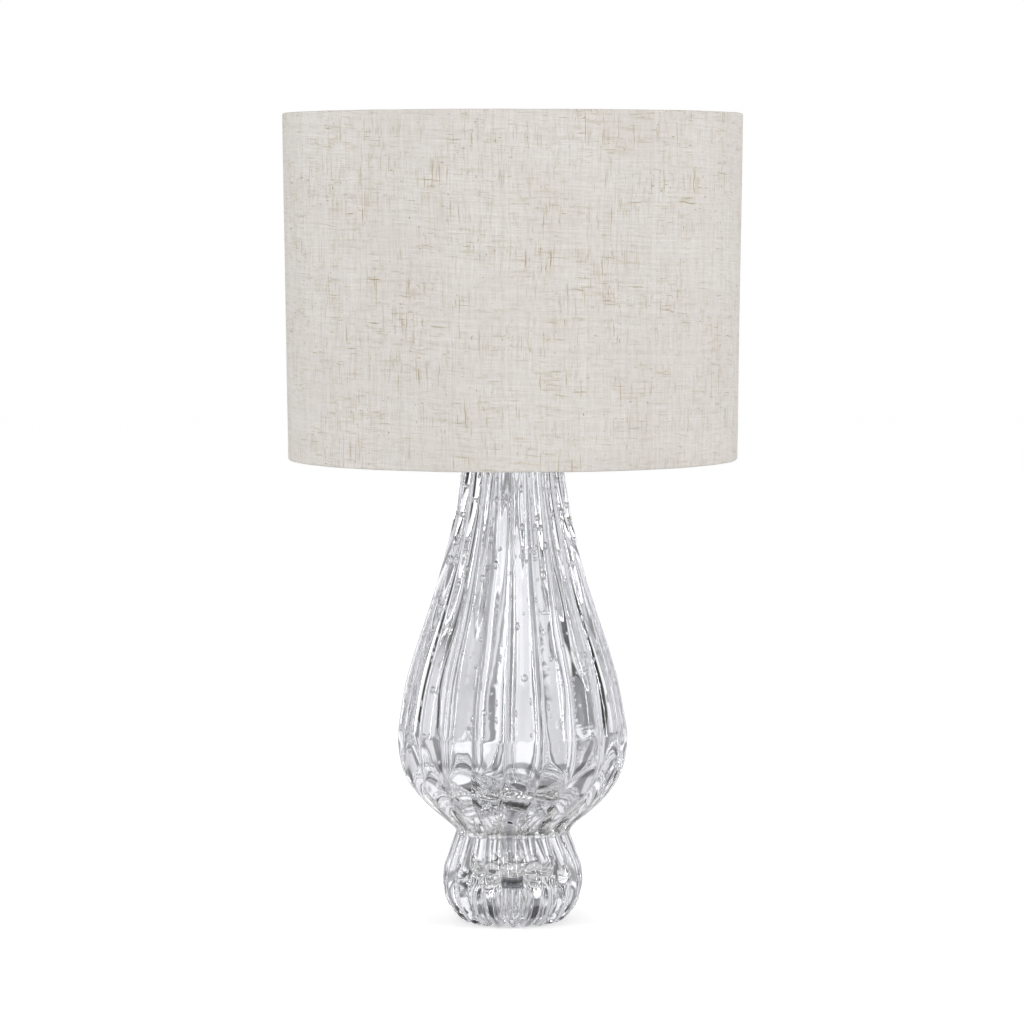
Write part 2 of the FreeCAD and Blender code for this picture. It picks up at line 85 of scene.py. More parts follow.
def smoothLine(points, steps):
    # even curve through the points, steps to each span
    result = []
    for i in range(len(points) - 1):
        p1, p2 = Vector(points[i]), Vector(points[i + 1])
        p0 = Vector(points[i - 1]) if i > 0 else p1 * 2 - p2
        p3 = Vector(points[i + 2]) if i + 2 < len(points) else p2 * 2 - p1
        for k in range(steps):
            t = k / steps
            result.append(0.5 * (2 * p1 + (p2 - p0) * t + (2 * p0 - 5 * p1 + 4 * p2 - p3) * t * t
                                 + (3 * p1 - p0 - 3 * p2 + p3) * t ** 3))
    return result + [Vector(points[-1])]


def gridFaces(rows, sides, wrap=False, start=0):
    # faces between rows of points that each go once round
    faces = []
    for j in range(rows if wrap else rows - 1):
        low, high = start + j * sides, start + (j + 1) % rows * sides
        for k in range(sides):
            m = (k + 1) % sides
            faces.append((low + k, low + m, high + m, high + k))
    return faces


def turned(outline, steps=64, shape=None, closed=True):
    # an outline of (radius, height) goes up the outside and down the inside of the piece
    points = []
    for radius, height in outline:
        for i in range(steps):
            angle = 2 * math.pi * i / steps
            r, z = shape(radius, height, angle) if shape else (radius, height)
            points.append(polar(r, angle, z))
    return points, gridFaces(len(outline), steps, closed)


def lathe(outline, corner, sides=96, arc=3):
    return turned(softened(outline, corner, arc=arc), sides)


def ring(inner, outer, low, top):
    return [(inner, low), (outer, low), (outer, top), (inner, top)]


def divided(rows, count, closed=False):
    # more rows between those of an outline; count says how many parts a span gets
    result = []
    for here, there in zip(rows, rows[1:] + rows[:1] if closed else rows[1:]):
        parts = count(here, there)
        result += [(blend(here[0], there[0], k / parts), blend(here[1], there[1], k / parts))
                   for k in range(parts)]
    return result if closed else result + [rows[-1]]


def stacked(loops):
    # a closed body from loops of points that lie one past the other
    sides, count = len(loops[0]), len(loops)
    ends = [tuple(range(sides)), tuple(range((count - 1) * sides, count * sides))]
    return [p for loop in loops for p in loop], gridFaces(count, sides) + ends


def swept(path, section, closed=False, flat=None):
    # section is a loop of (aside, up) offsets carried along the path; flat keeps "up" in a plane
    path = [Vector(p) for p in path]
    loops, count, up = [], len(path), None
    for i, here in enumerate(path):
        if closed:
            along = (path[(i + 1) % count] - path[i - 1]).normalized()
        else:
            along = (path[min(i + 1, count - 1)] - path[max(i - 1, 0)]).normalized()
        if flat is not None:
            aside = Vector(flat)
        else:
            if up is None:
                up = Vector((0, 0, 1)) if abs(along.z) < 0.9 else Vector((0, 1, 0))
            aside = along.cross(up).normalized()
        up = aside.cross(along).normalized()
        loops.append([tuple(here + aside * a + up * b) for a, b in section])
    if closed:
        return [p for loop in loops for p in loop], gridFaces(count, len(section), True)
    return stacked(loops)


def roundSection(radius, sides=16):
    turns = [2 * math.pi * i / sides for i in range(sides)]
    return [(radius * math.cos(turn), radius * math.sin(turn)) for turn in turns]


def barSection(width, height, corner):
    half, low = width / 2, height / 2
    return softened([(-half, -low), (half, -low), (half, low), (-half, low)], corner)


def roundNoise(angle, size, level):
    # slow unevenness that closes up round the lamp
    return noise.noise(Vector(polar(size, angle, level)))


def moved(mesh, aside):
    return [(x + aside, y, z) for x, y, z in mesh[0]], mesh[1]


def tipped(mesh, axis, origin):
    # a piece made about Z is laid along axis ("-y", "+y", "-x", "+x") from origin
    ways = {
        "-y": lambda p: (p[0], -p[2], p[1]),
        "+y": lambda p: (-p[0], p[2], p[1]),
        "-x": lambda p: (-p[2], p[0], p[1]),
        "+x": lambda p: (p[2], -p[0], p[1]),
    }
    ox, oy, oz = origin
    laid = [ways[axis](p) for p in mesh[0]]
    return [(x + ox, y + oy, z + oz) for x, y, z in laid], mesh[1]


def joined(*meshes):
    points, faces = [], []
    for these, those in meshes:
        faces += [tuple(i + len(points) for i in face) for face in those]
        points += these
    return points, faces


def addObject(name, data):
    made = bpy.data.objects.new(name, data)
    bpy.context.collection.objects.link(made)
    return made


def makePiece(name, mesh, material, body, nodes, crease=32, keepNormals=False):
    data = bpy.data.meshes.new(name)
    data.from_pydata([(x * mm, y * mm, z * mm) for x, y, z in mesh[0]], [], mesh[1])
    work = bmesh.new()
    work.from_mesh(data)
    bmesh.ops.remove_doubles(work, verts=work.verts, dist=1e-6)
    if not keepNormals:
        bmesh.ops.recalc_face_normals(work, faces=work.faces)
    work.to_mesh(data)
    work.free()
    data.shade_smooth()
    data.set_sharp_from_angle(angle=math.radians(crease))
    data.materials.append(material)
    piece = addObject(name, data)
    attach(piece, body)
    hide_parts(*nodes)
    return piece


camera = dict(aside=-0.6, distance=3820, height=632, tilt=4.08, focal=154.3)


def setCamera():
    lens = bpy.data.cameras.new("camera")
    lens.lens = camera["focal"]
    lens.sensor_width = 36
    lens.clip_end = 50
    eye = addObject("camera", lens)
    eye.location = (camera["aside"] * mm, -camera["distance"] * mm, camera["height"] * mm)
    eye.rotation_euler = (math.radians(90 - camera["tilt"]), 0, 0)
    bpy.context.scene.camera = eye


# short ways to make shader nodes
def addNode(tree, kind, links=None, **settings):
    made = tree.nodes.new(kind)
    for name, value in settings.items():
        setattr(made, name, value)
    for socket, value in (links or {}).items():
        if isinstance(value, bpy.types.NodeSocket):
            tree.links.new(value, made.inputs[socket])
        else:
            made.inputs[socket].default_value = value
    return made


def split(tree, vector):
    return addNode(tree, "ShaderNodeSeparateXYZ", {0: vector}).outputs


def combine(tree, *parts):
    return addNode(tree, "ShaderNodeCombineXYZ", dict(enumerate(parts))).outputs[0]


def stretched(tree, place, scale):
    return addNode(tree, "ShaderNodeMapping", {0: place, 3: scale}).outputs[0]


def maths(tree, operation, first, second=0.0, clamp=False):
    return addNode(tree, "ShaderNodeMath", {0: first, 1: second}, operation=operation,
                   use_clamp=clamp).outputs[0]


def times(tree, first, second, clamp=False):
    return maths(tree, "MULTIPLY", first, second, clamp)


def plus(tree, first, second):
    return maths(tree, "ADD", first, second)


def fromAxis(tree, parts):
    squares = [times(tree, part, part) for part in (parts[0], parts[1])]
    return maths(tree, "SQRT", plus(tree, *squares))


def roundAxis(tree, parts):
    # 0 is straight behind the lamp and 1 in front of it
    turn = maths(tree, "ARCTAN2", parts[0], parts[1])
    return maths(tree, "DIVIDE", maths(tree, "ABSOLUTE", turn), math.pi)


def remap(tree, value, low, high, newLow=0.0, newHigh=1.0, smooth=False):
    kind = "SMOOTHSTEP" if smooth else "LINEAR"
    return addNode(tree, "ShaderNodeMapRange", {0: value, 1: low, 2: high, 3: newLow, 4: newHigh},
                   interpolation_type=kind).outputs[0]


def mixColour(tree, share, first, second, blendType="MIX"):
    return addNode(tree, "ShaderNodeMix", {0: share, 6: first, 7: second}, data_type="RGBA",
                   blend_type=blendType).outputs[2]


def noiseAt(tree, vector, scale, detail=2.0, roughness=0.5, distortion=0.0):
    return addNode(tree, "ShaderNodeTexNoise", {"Vector": vector, "Scale": scale, "Detail": detail,
                   "Roughness": roughness, "Distortion": distortion}).outputs[0]


def ramp(tree, value, stops):
    made = addNode(tree, "ShaderNodeValToRGB", {0: value})
    band = made.color_ramp
    while len(band.elements) < len(stops):
        band.elements.new(0.5)
    for element, (place, colour) in zip(band.elements, stops):
        element.position = place
        element.color = colour if len(colour) == 4 else (*colour, 1)
    return made.outputs[0]


def newGroup(name, inputs, outputs):
    group = bpy.data.node_groups.new(name, "ShaderNodeTree")
    for label, kind, value in inputs:
        socket = group.interface.new_socket(name=label, in_out="INPUT", socket_type=kind)
        socket.default_value = value
    for label, kind in outputs:
        group.interface.new_socket(name=label, in_out="OUTPUT", socket_type=kind)
    return group, group.nodes.new("NodeGroupInput").outputs, group.nodes.new("NodeGroupOutput").inputs


def useGroup(tree, group, **values):
    return addNode(tree, "ShaderNodeGroup", values, node_tree=group).outputs


def newMaterial(name, **sockets):
    material = bpy.data.materials.new(name)
    material.use_nodes = True
    tree = material.node_tree
    tree.nodes.clear()
    shader = tree.nodes.new("ShaderNodeBsdfPrincipled")
    output = tree.nodes.new("ShaderNodeOutputMaterial")
    tree.links.new(shader.outputs[0], output.inputs[0])
    for label, value in sockets.items():
        shader.inputs[label.replace("_", " ")].default_value = value
    place = tree.nodes.new("ShaderNodeTexCoord").outputs["Object"]
    return material, tree, shader, place


def addBump(tree, shader, height, distance, strength=1.0):
    bump = addNode(tree, "ShaderNodeBump", {"Height": height, "Distance": distance, "Strength": strength})
    tree.links.new(bump.outputs[0], shader.inputs["Normal"])


def makeToolLines():
    # fine lines left by turning, brushing or drawing, and the smudges on them
    group, given, made = newGroup("toolLines", [
        ("Vector", "NodeSocketVector", (0, 0, 0)),
        ("Pitch", "NodeSocketFloat", 4000.0),
        ("Smudge", "NodeSocketFloat", 60.0),
    ], [("Lines", "NodeSocketFloat"), ("Smudges", "NodeSocketFloat")])
    parts = split(group, given[0])
    radius = fromAxis(group, parts)
    lap = times(group, maths(group, "ARCTAN2", parts[1], parts[0]), 0.0006)
    place = combine(group, radius, parts[2], lap)
    lines = noiseAt(group, place, given[1], 3, 0.6)
    smudge = noiseAt(group, given[0], given[2], 4, 0.55)
    group.links.new(lines, made[0])
    group.links.new(smudge, made[1])
    return group


def makeEdgeWear():
    # a mask that is 1 along worn outer edges and 0 elsewhere
    group, given, made = newGroup("edgeWear", [
        ("Vector", "NodeSocketVector", (0, 0, 0)),
        ("Start", "NodeSocketFloat", 0.52),
        ("End", "NodeSocketFloat", 0.6),
    ], [("Mask", "NodeSocketFloat")])
    point = group.nodes.new("ShaderNodeNewGeometry").outputs["Pointiness"]
    edge = remap(group, point, given[1], given[2])
    patch = remap(group, noiseAt(group, given[0], 350, 3, 0.6), 0.35, 0.65)
    group.links.new(times(group, edge, patch, clamp=True), made[0])
    return group


def makeDust():
    # a thin veil of dust that settles on what faces up
    group, given, made = newGroup("dust", [
        ("Vector", "NodeSocketVector", (0, 0, 0)),
        ("Amount", "NodeSocketFloat", 0.3),
    ], [("Mask", "NodeSocketFloat")])
    normal = group.nodes.new("ShaderNodeNewGeometry").outputs["Normal"]
    up = split(group, normal)[2]
    grains = remap(group, noiseAt(group, given[0], 900, 4, 0.7), 0.4, 0.75)
    veil = times(group, remap(group, up, 0.5, 1.0), grains)
    group.links.new(times(group, veil, given[1], clamp=True), made[0])
    return group


toolLines, edgeWear, dust = makeToolLines(), makeEdgeWear(), makeDust()

metals = dict(
    satinNickel=dict(base=(196, 190, 180), worn=(226, 221, 212), low=0.24, high=0.42, pitch=5200),
    zincSteel=dict(base=(150, 152, 156), worn=(196, 198, 202), low=0.3, high=0.5, pitch=2600),
    brassContact=dict(base=(206, 164, 92), worn=(232, 200, 138), low=0.22, high=0.46, pitch=4200),
    polishedSteel=dict(base=(232, 232, 235), worn=(240, 240, 242), low=0.03, high=0.08, pitch=900),
    capNickel=dict(base=(202, 202, 200), worn=(224, 224, 222), low=0.2, high=0.34, pitch=5200),
)

marks = dict(                              # smudges and dust that all the metals share
    smudge=70.0, smudgeSpan=(0.35, 0.7), roughSpan=(0.45, 0.75, 0, 0.12), dull=0.8,
    dust=0.25, dustTone=(176, 172, 166), bump=(0.00003, 0.5),
)


def metalMaterial(name):
    look = metals[name]
    material, tree, shader, place = newMaterial(name, Metallic=1.0, Anisotropic=0.3)
    lines, smudges = useGroup(tree, toolLines, Vector=place, Pitch=look["pitch"], Smudge=marks["smudge"])
    worn = useGroup(tree, edgeWear, Vector=place)[0]
    dusty = useGroup(tree, dust, Vector=place, Amount=marks["dust"])[0]
    base = srgb(*look["base"])
    dull = tuple(part * marks["dull"] for part in base[:3]) + (1,)
    tone = mixColour(tree, remap(tree, smudges, *marks["smudgeSpan"]), base, dull)
    tone = mixColour(tree, worn, tone, srgb(*look["worn"]))
    tone = mixColour(tree, dusty, tone, srgb(*marks["dustTone"]))
    tree.links.new(tone, shader.inputs["Base Color"])
    rough = plus(tree, remap(tree, lines, 0.3, 0.7, look["low"], look["high"]),
                 remap(tree, smudges, *marks["roughSpan"]))
    tree.links.new(rough, shader.inputs["Roughness"])
    addBump(tree, shader, lines, *marks["bump"])
    return material


# grain and cloud are a noise's scale, detail and roughness; span is the part of it that the tones take;
# rough is low, high and the roughness there; over lists dust and patches that lie on top
finishes = dict(
    greyRubber=dict(grain=(420, 4, 0.65), span=(0.3, 0.7), tones=((34, 34, 36), (50, 50, 52)),
                    over=[("dust", 0.5, (120, 118, 114))], rough=(0.3, 0.7, 0.62, 0.85),
                    bump=(0.0001, 0.5)),
    blackPlastic=dict(grain=(2600, 3, 0.6), cloud=(160, 4, 0.6), wear=(0.52, 0.6),
                      tones=((24, 24, 26), (62, 62, 64)), roughBy="cloud",
                      rough=(0.35, 0.7, 0.22, 0.46), bump=(0.00004, 0.5)),
    cardInsulation=dict(sockets=dict(Roughness=0.9), stretch=(900, 900, 160), grain=(1.0, 4, 0.65, 0.4),
                        span=(0.3, 0.7), tones=((176, 146, 104), (206, 180, 140)),
                        over=[("patches", (120, 3, 0.6), (0.4, 0.7, 0, 0.4), (158, 128, 88))],
                        bump=(0.0001, 0.6)),
    whitePorcelain=dict(sockets=dict(Coat_Weight=0.5, Coat_Roughness=0.06), grain=(180, 3, 0.5),
                        span=(0.3, 0.7), tones=((232, 230, 224), (242, 241, 237)),
                        over=[("patches", (1500, 2, 0.5), (0.74, 0.78), (168, 158, 142))],
                        rough=(0.3, 0.7, 0.16, 0.3), bump=(0.0002, 0.4)),
    opalGlass=dict(sockets=dict(Coat_Weight=0.7, Coat_Roughness=0.04, Subsurface_Weight=0.25,
                                Subsurface_Scale=0.004, Subsurface_Radius=(1, 1, 1)),
                   grain=(2400, 3, 0.6), cloud=(70, 4, 0.6), span=(0.35, 0.65),
                   tones=((238, 237, 233), (246, 245, 243)), rough=(0.3, 0.7, 0.3, 0.42),
                   bump=(0.00002, 0.3)),
    whiteLiner=dict(grain=(1900, 3, 0.65), cloud=(9, 3, 0.5), span=(0.35, 0.7),
                    tones=((240, 239, 236), (235, 232, 225)), rough=(0.3, 0.7, 0.5, 0.68),
                    bump=(0.00005, 0.6)),
    whiteWire=dict(grain=(900, 2, 0.45), wear=(0.56, 0.68), tones=((236, 236, 233), (196, 194, 190)),
                   over=[("dust", 0.3, (200, 197, 190))], rough=(0.3, 0.7, 0.3, 0.42),
                   bump=(0.00008, 0.5)),
)


def plainMaterial(name):
    look = finishes[name]
    material, tree, shader, place = newMaterial(name, **look.get("sockets", {}))
    drawn = place
    if "stretch" in look:
        drawn = stretched(tree, place, look["stretch"])
    grain = noiseAt(tree, drawn, *look["grain"])
    cloud = noiseAt(tree, place, *look["cloud"]) if "cloud" in look else grain
    if "wear" in look:
        share = useGroup(tree, edgeWear, Vector=place, Start=look["wear"][0], End=look["wear"][1])[0]
    else:
        share = remap(tree, cloud, *look["span"])
    tone = mixColour(tree, share, *[srgb(*tone) for tone in look["tones"]])
    for kind, amount, *rest in look.get("over", []):
        if kind == "dust":
            mask = useGroup(tree, dust, Vector=place, Amount=amount)[0]
        else:
            mask = remap(tree, noiseAt(tree, place, *amount), *rest[0])
        tone = mixColour(tree, mask, tone, srgb(*rest[-1]))
    tree.links.new(tone, shader.inputs["Base Color"])
    if "rough" in look:
        source = cloud if look.get("roughBy") == "cloud" else grain
        tree.links.new(remap(tree, source, *look["rough"]), shader.inputs["Roughness"])
    addBump(tree, shader, grain, *look["bump"])
    return material


greyRubber, blackPlastic, cardInsulation, whitePorcelain, opalGlass, whiteLiner, whiteWire = [
    plainMaterial(name) for name in finishes]
satinNickel, zincSteel, brassContact, polishedSteel, capNickel = [metalMaterial(name) for name in metals]
print("metals, plastics and porcelain are mixed")

# light and floor
studio = dict(level=0.68, floorTone=0.8, floorGlow=0.45, uneven=0.03)
backdrop = [                               # degrees from straight behind the lamp, tone, blue
    (0, 0.9, 1.04), (6, 0.84, 1.04), (7.5, 1.12, 1.0), (13, 1.12, 1.0), (14.5, 0.3, 1.05),
    (20, 0.24, 1.05), (21.5, 0.8, 1.03), (31, 0.66, 1.03), (32.5, 0.08, 1.05), (38, 0.05, 1.05),
    (39.5, 1.12, 1.0), (49, 1.0, 1.0), (51, 0.02, 1.05), (62, 0.02, 1.05), (64, 0.72, 1.04),
    (82, 0.86, 1.03), (84, 0.03, 1.05), (102, 0.02, 1.05), (104, 1.1, 1.0), (126, 1.0, 1.0),
    (128, 0.12, 1.05), (148, 0.1, 1.05), (150, 0.8, 1.0), (166, 0.72, 1.0), (170, 0.35, 1.03),
]
ceiling = [(0.16, 0.7), (0.24, 0.1), (0.36, 0.08), (0.38, 0.95), (0.55, 0.9), (0.57, 0.14), (0.72, 0.12),
           (0.74, 0.85), (1.0, 0.7)]
paintedFloorShade = [                               # painted floor that the glass shows, with a painted shadow under the foot: metres from the lamp, tone
    (0.0, 0.12), (0.024, 0.16), (0.03, 0.85), (0.05, 0.95), (0.058, 0.2), (0.08, 0.25), (0.09, 1.0),
    (0.19, 0.95), (0.21, 0.4), (0.29, 0.45), (0.31, 1.0), (1.0, 1.0),
]


def setWorld():
    world = bpy.data.worlds.new("studio")
    bpy.context.scene.world = world
    world.use_nodes = True
    tree = world.node_tree
    tree.nodes.clear()
    way = addNode(tree, "ShaderNodeTexCoord").outputs["Generated"]
    parts = split(tree, way)
    aside = roundAxis(tree, parts)
    uneven = noiseAt(tree, way, 2.6, 2, 0.5)
    aside = plus(tree, aside, remap(tree, uneven, 0, 1, -0.022, 0.022))
    walls = ramp(tree, aside, [(spot / 180, (tone, tone, tone * blue)) for spot, tone, blue in backdrop])
    height = plus(tree, parts[2], remap(tree, uneven, 0, 1, -0.06, 0.06))
    roof = ramp(tree, height, [(level, (tone, tone, tone)) for level, tone in ceiling])
    around = mixColour(tree, remap(tree, parts[2], 0.16, 0.3, smooth=True), walls, roof)
    rays = addNode(tree, "ShaderNodeLightPath").outputs
    shiny = maths(tree, "MAXIMUM", rays["Is Glossy Ray"], rays["Is Transmission Ray"])
    plain = (studio["level"], studio["level"], studio["level"], 1)
    seen = mixColour(tree, shiny, plain, around)
    seen = mixColour(tree, rays["Is Camera Ray"], seen, (1, 1, 1, 1))
    background = addNode(tree, "ShaderNodeBackground", {0: seen, 1: 1.0})
    output = tree.nodes.new("ShaderNodeOutputWorld")
    tree.links.new(background.outputs[0], output.inputs[0])


def makeFloor():
    data = bpy.data.meshes.new("floor")
    data.from_pydata([(-9, -9, 0), (9, -9, 0), (9, 9, 0), (-9, 9, 0)], [], [(0, 1, 2, 3)])
    floor = addObject("floor", data)
    material, tree, shader, place = newMaterial("studioFloor", Roughness=0.9)
    tone = studio["floorTone"]
    shader.inputs["Base Color"].default_value = (tone, tone, tone, 1)
    shader.inputs["Specular IOR Level"].default_value = 0.0
    rays = addNode(tree, "ShaderNodeLightPath").outputs
    glow = times(tree, rays["Is Camera Ray"], studio["floorGlow"])
    shader.inputs["Emission Color"].default_value = (1, 1, 1, 1)
    tree.links.new(glow, shader.inputs["Emission Strength"])
    parts = split(tree, place)

    def blurred(value, scale):
        uneven = remap(tree, noiseAt(tree, place, scale, 2), 0, 1, -studio["uneven"], studio["uneven"])
        return plus(tree, value, uneven)

    # for glossy and transmission rays the floor glows with painted shade: a painted shadow under the foot,
    # and dark rings and spokes copied from the backdrop's dark bands
    away = blurred(fromAxis(tree, parts), 9)
    rings = ramp(tree, away, [(spot, (tone, tone, tone * 1.03)) for spot, tone in paintedFloorShade])
    aside = blurred(roundAxis(tree, parts), 5)
    spokes = ramp(tree, aside, [(spot / 180, (max(tone, 0.3),) * 3) for spot, tone, blue in backdrop])
    table = mixColour(tree, 1.0, rings, spokes, "MULTIPLY")
    lit = addNode(tree, "ShaderNodeEmission", {0: table, 1: 1.0})
    shiny = maths(tree, "MAXIMUM", rays["Is Transmission Ray"], rays["Is Glossy Ray"])
    both = addNode(tree, "ShaderNodeMixShader", {0: shiny, 1: shader.outputs[0], 2: lit.outputs[0]})
    tree.links.new(both.outputs[0], next(n for n in tree.nodes if n.type == "OUTPUT_MATERIAL").inputs[0])
    data.materials.append(material)


lamps = [
    dict(name="keyStrip", at=(-1.7, -1.3, 1.0), size=(0.12, 1.7), watts=14),
    dict(name="fillStrip", at=(1.9, -1.2, 1.0), size=(0.12, 1.7), watts=18),
    dict(name="backLeft", at=(-1.3, 1.5, 0.8), size=(0.08, 1.5), watts=2.2),
    dict(name="backRight", at=(1.0, 1.7, 0.8), size=(0.08, 1.5), watts=2.2),
    dict(name="frontBox", at=(-0.4, -3.4, 2.2), size=(1.4, 1.2), watts=12),
]


def setLamps():
    for look in lamps:
        light = bpy.data.lights.new(look["name"], "AREA")
        light.shape = "RECTANGLE"
        light.size, light.size_y = look["size"]
        light.energy = look["watts"]
        box = addObject(look["name"], light)
        box.location = look["at"]
        aim = Vector((0, 0, 0.38)) - Vector(look["at"])
        box.rotation_euler = aim.to_track_quat("-Z", "Y").to_euler()


setCamera()
setWorld()
makeFloor()
setLamps()
scene = bpy.context.scene
scene.view_settings.view_transform = "Standard"
scene.cycles.max_bounces = 32
scene.cycles.transmission_bounces = 28
scene.cycles.glossy_bounces = 14
scene.cycles.transparent_max_bounces = 16
print("camera, light and floor are set")

glass = dict(
    flutes=20, columns=20,                 # mesh columns to a flute
    roundness=2.1,                         # of a flute, 2 is an even arch
    lean=0.5, depthSpread=(0.86, 1.14),    # how unlike the flutes are
    waistTurn=-2.5, bellyTurn=6.8, neckTurn=8.5, frontSpread=4.3,
    fades=dict(                            # where something starts, and over how many mm it comes in
        waistTurn=(45, 34), bellyTurn=(79, 75), neckTurn=(170, 220), lean=(60, 60), wobble=(115, 50),
        innerWave=(112, 50), innerWobble=(135, 50), hollowWave=(28, 12),
    ),
    outside=[                              # crest radius, height, depth of the flutes
        (37.4, 0.0, 4.4), (41.8, 0.9, 5.2), (46.6, 3.8, 5.6), (51.2, 8.4, 5.9), (56.6, 16.2, 6.0),
        (60.3, 27.0, 6.0), (61.2, 38.0, 6.0), (60.2, 48.5, 5.8), (57.4, 58.0, 5.4), (53.6, 68.5, 4.8),
        (50.8, 76.0, 4.0), (50.0, 79.2, 3.6), (52.0, 83.6, 3.9), (58.6, 89.6, 4.8), (67.2, 96.6, 5.5),
        (78.8, 107.0, 6.0), (87.6, 117.5, 6.2), (94.4, 129.0, 6.3), (98.8, 143.0, 6.3),
        (100.8, 160.0, 6.2), (100.2, 173.0, 6.1), (97.6, 191.0, 5.9), (93.6, 212.0, 5.6),
        (86.0, 238.0, 5.2), (77.2, 264.2, 4.7), (68.8, 290.4, 4.2), (61.3, 316.6, 3.8),
        (54.8, 342.8, 3.4), (49.5, 369.0, 3.1), (46.0, 391.0, 2.8), (43.0, 413.0, 2.2),
        (40.8, 434.0, 1.4), (39.4, 449.0, 0.7), (39.0, 453.4, 0.4), (37.8, 455.0, 0.2),
    ],
    wall=6.0,                              # from a valley to the cavity
    cavity=[                               # radius and height, down from the last row of the wall
        (86.0, 156.0), (81.5, 141.0), (73.0, 128.5), (60.0, 119.0), (44.0, 113.6), (26.0, 111.8),
        (9.0, 111.6),
    ],
    innerWave=0.6,
    hollow=[                               # radius and height, from the bore out and down
        (9.0, 52.0), (20.0, 52.0), (26.0, 51.4), (33.5, 48.2), (40.6, 42.4), (45.4, 34.6),
        (45.6, 24.0), (41.0, 12.0), (35.2, 4.0), (32.4, 1.0), (31.6, 0.1),
    ],
    bore=6.5, boreTop=110.6, boreFoot=52.8,
    seed=11,
    wobble=0.8, wobbleSize=4.5,            # slow unevenness of the outside, and how close it comes
    innerWobble=0.5, innerWobbleSize=4,
    wobbleHeight=60,                       # its length up the glass
    hollowWave=2.2, hollowWobble=0.5, hollowSize=11, hollowHeight=26,
    toeLift=4.6, toeHeight=14,             # the valleys stop short of the table
    bubbles=360, bubbleWidth=(1.1, 2.6), bubbleStretch=(1.1, 1.8), bubbleZone=(122, 440),
    bubbleSides=(12, 8),
)


def fade(name, value):
    start, length = glass["fades"][name]
    return ease((value - start) / length)


def fluteTurn(height, front):
    # how far a flute leans round the lamp at a height; front is its angle from the front
    foot = glass["waistTurn"] * fade("waistTurn", height)
    belly = glass["bellyTurn"] + glass["frontSpread"] * math.sin(front)
    upper = blend(belly, glass["neckTurn"], fade("neckTurn", height))
    return blend(foot, upper, fade("bellyTurn", height))


def fluteHeight(place):
    # 1 at a crest and 0 in a valley; place runs from -0.5 to 0.5 across a flute
    return 1 - (2 * abs(place)) ** glass["roundness"]


def toeRise(height, crest):
    return glass["toeLift"] * (1 - crest) * max(0, 1 - height / glass["toeHeight"])


def glassRows():
    # kind is 0 outside, 1 in the cavity, 2 in the bore and 3 in the foot's hollow
    rows = [(r, z, depth, 0) for r, z, depth in smoothLine(glass["outside"], 6)]
    wallFrom = [row for row in rows if row[1] > 168]
    rim = [(r, z, 0, 0) for r, z in ((36.4, 455.0), (34.0, 455.0), (32.0, 454.8), (31.2, 454.2))]
    inner = [(r - depth - glass["wall"], z, 0, 1) for r, z, depth, kind in reversed(wallFrom) if z < 452]
    cavity = [(r, z, 0, 1) for r, z in smoothLine([inner[-1][:2]] + glass["cavity"], 6)[1:]]
    bore = [(glass["bore"], blend(glass["boreTop"], glass["boreFoot"], i / 8), 0, 2) for i in range(9)]
    hollow = [(r, z, 0, 3) for r, z in smoothLine(glass["hollow"], 5)]
    return rows + rim + inner + cavity + bore + hollow


def glassMesh():
    dice = random.Random(glass["seed"])
    count, columns = glass["flutes"], glass["columns"]
    lean = [dice.uniform(-1, 1) for i in range(count)]
    bulge = [dice.uniform(*glass["depthSpread"]) for i in range(count)]
    rows = glassRows()
    sides = count * columns
    points = []
    for radius, height, depth, kind in rows:
        for c in range(sides):
            flute, place = c // columns, (c % columns) / columns - 0.5
            front = 2 * math.pi * (flute + place) / count
            crest = fluteHeight(place)
            arch = math.cos(2 * math.pi * place)
            level = height / glass["wobbleHeight"]
            shift = glass["lean"] * lean[flute] * (1 - (2 * place) ** 2) * fade("lean", height)
            if kind == 0:
                slow = roundNoise(front, glass["wobbleSize"], level)
                calm = min(depth / 4, 1) * fade("wobble", height)
                r = radius - depth * bulge[flute] * (1 - crest) + (slow - 0.4) * glass["wobble"] * calm
            elif kind == 1:
                wave = arch * glass["innerWave"] * fade("innerWave", height)
                slow = roundNoise(front, glass["innerWobbleSize"], 9 + level)
                r = radius + wave + slow * glass["innerWobble"] * fade("innerWobble", height)
            elif kind == 3:
                slow = roundNoise(front, glass["hollowSize"], height / glass["hollowHeight"])
                uneven = glass["hollowWave"] * arch + glass["hollowWobble"] * slow
                r, shift = radius + uneven * fade("hollowWave", radius), 0
            else:
                r, shift = radius, 0
            angle = front - math.pi / 2 + math.radians(fluteTurn(height, front) + shift)
            toe = 0 if kind in (1, 2) else toeRise(height, crest)
            points.append(polar(r, angle, height + toe))
    return points, gridFaces(len(rows), sides, True)


def wallAt(height):
    # radius of the valleys and slope of the wall at a height
    rows = smoothLine(glass["outside"], 6)
    for low, high in zip(rows, rows[1:]):
        if low.y <= height < high.y and low.y > 80:
            valley = blend(low.x - low.z, high.x - high.z, (height - low.y) / (high.y - low.y))
            return valley, (high.x - low.x) / (high.y - low.y)
    return glass["outside"][-1][0], 0


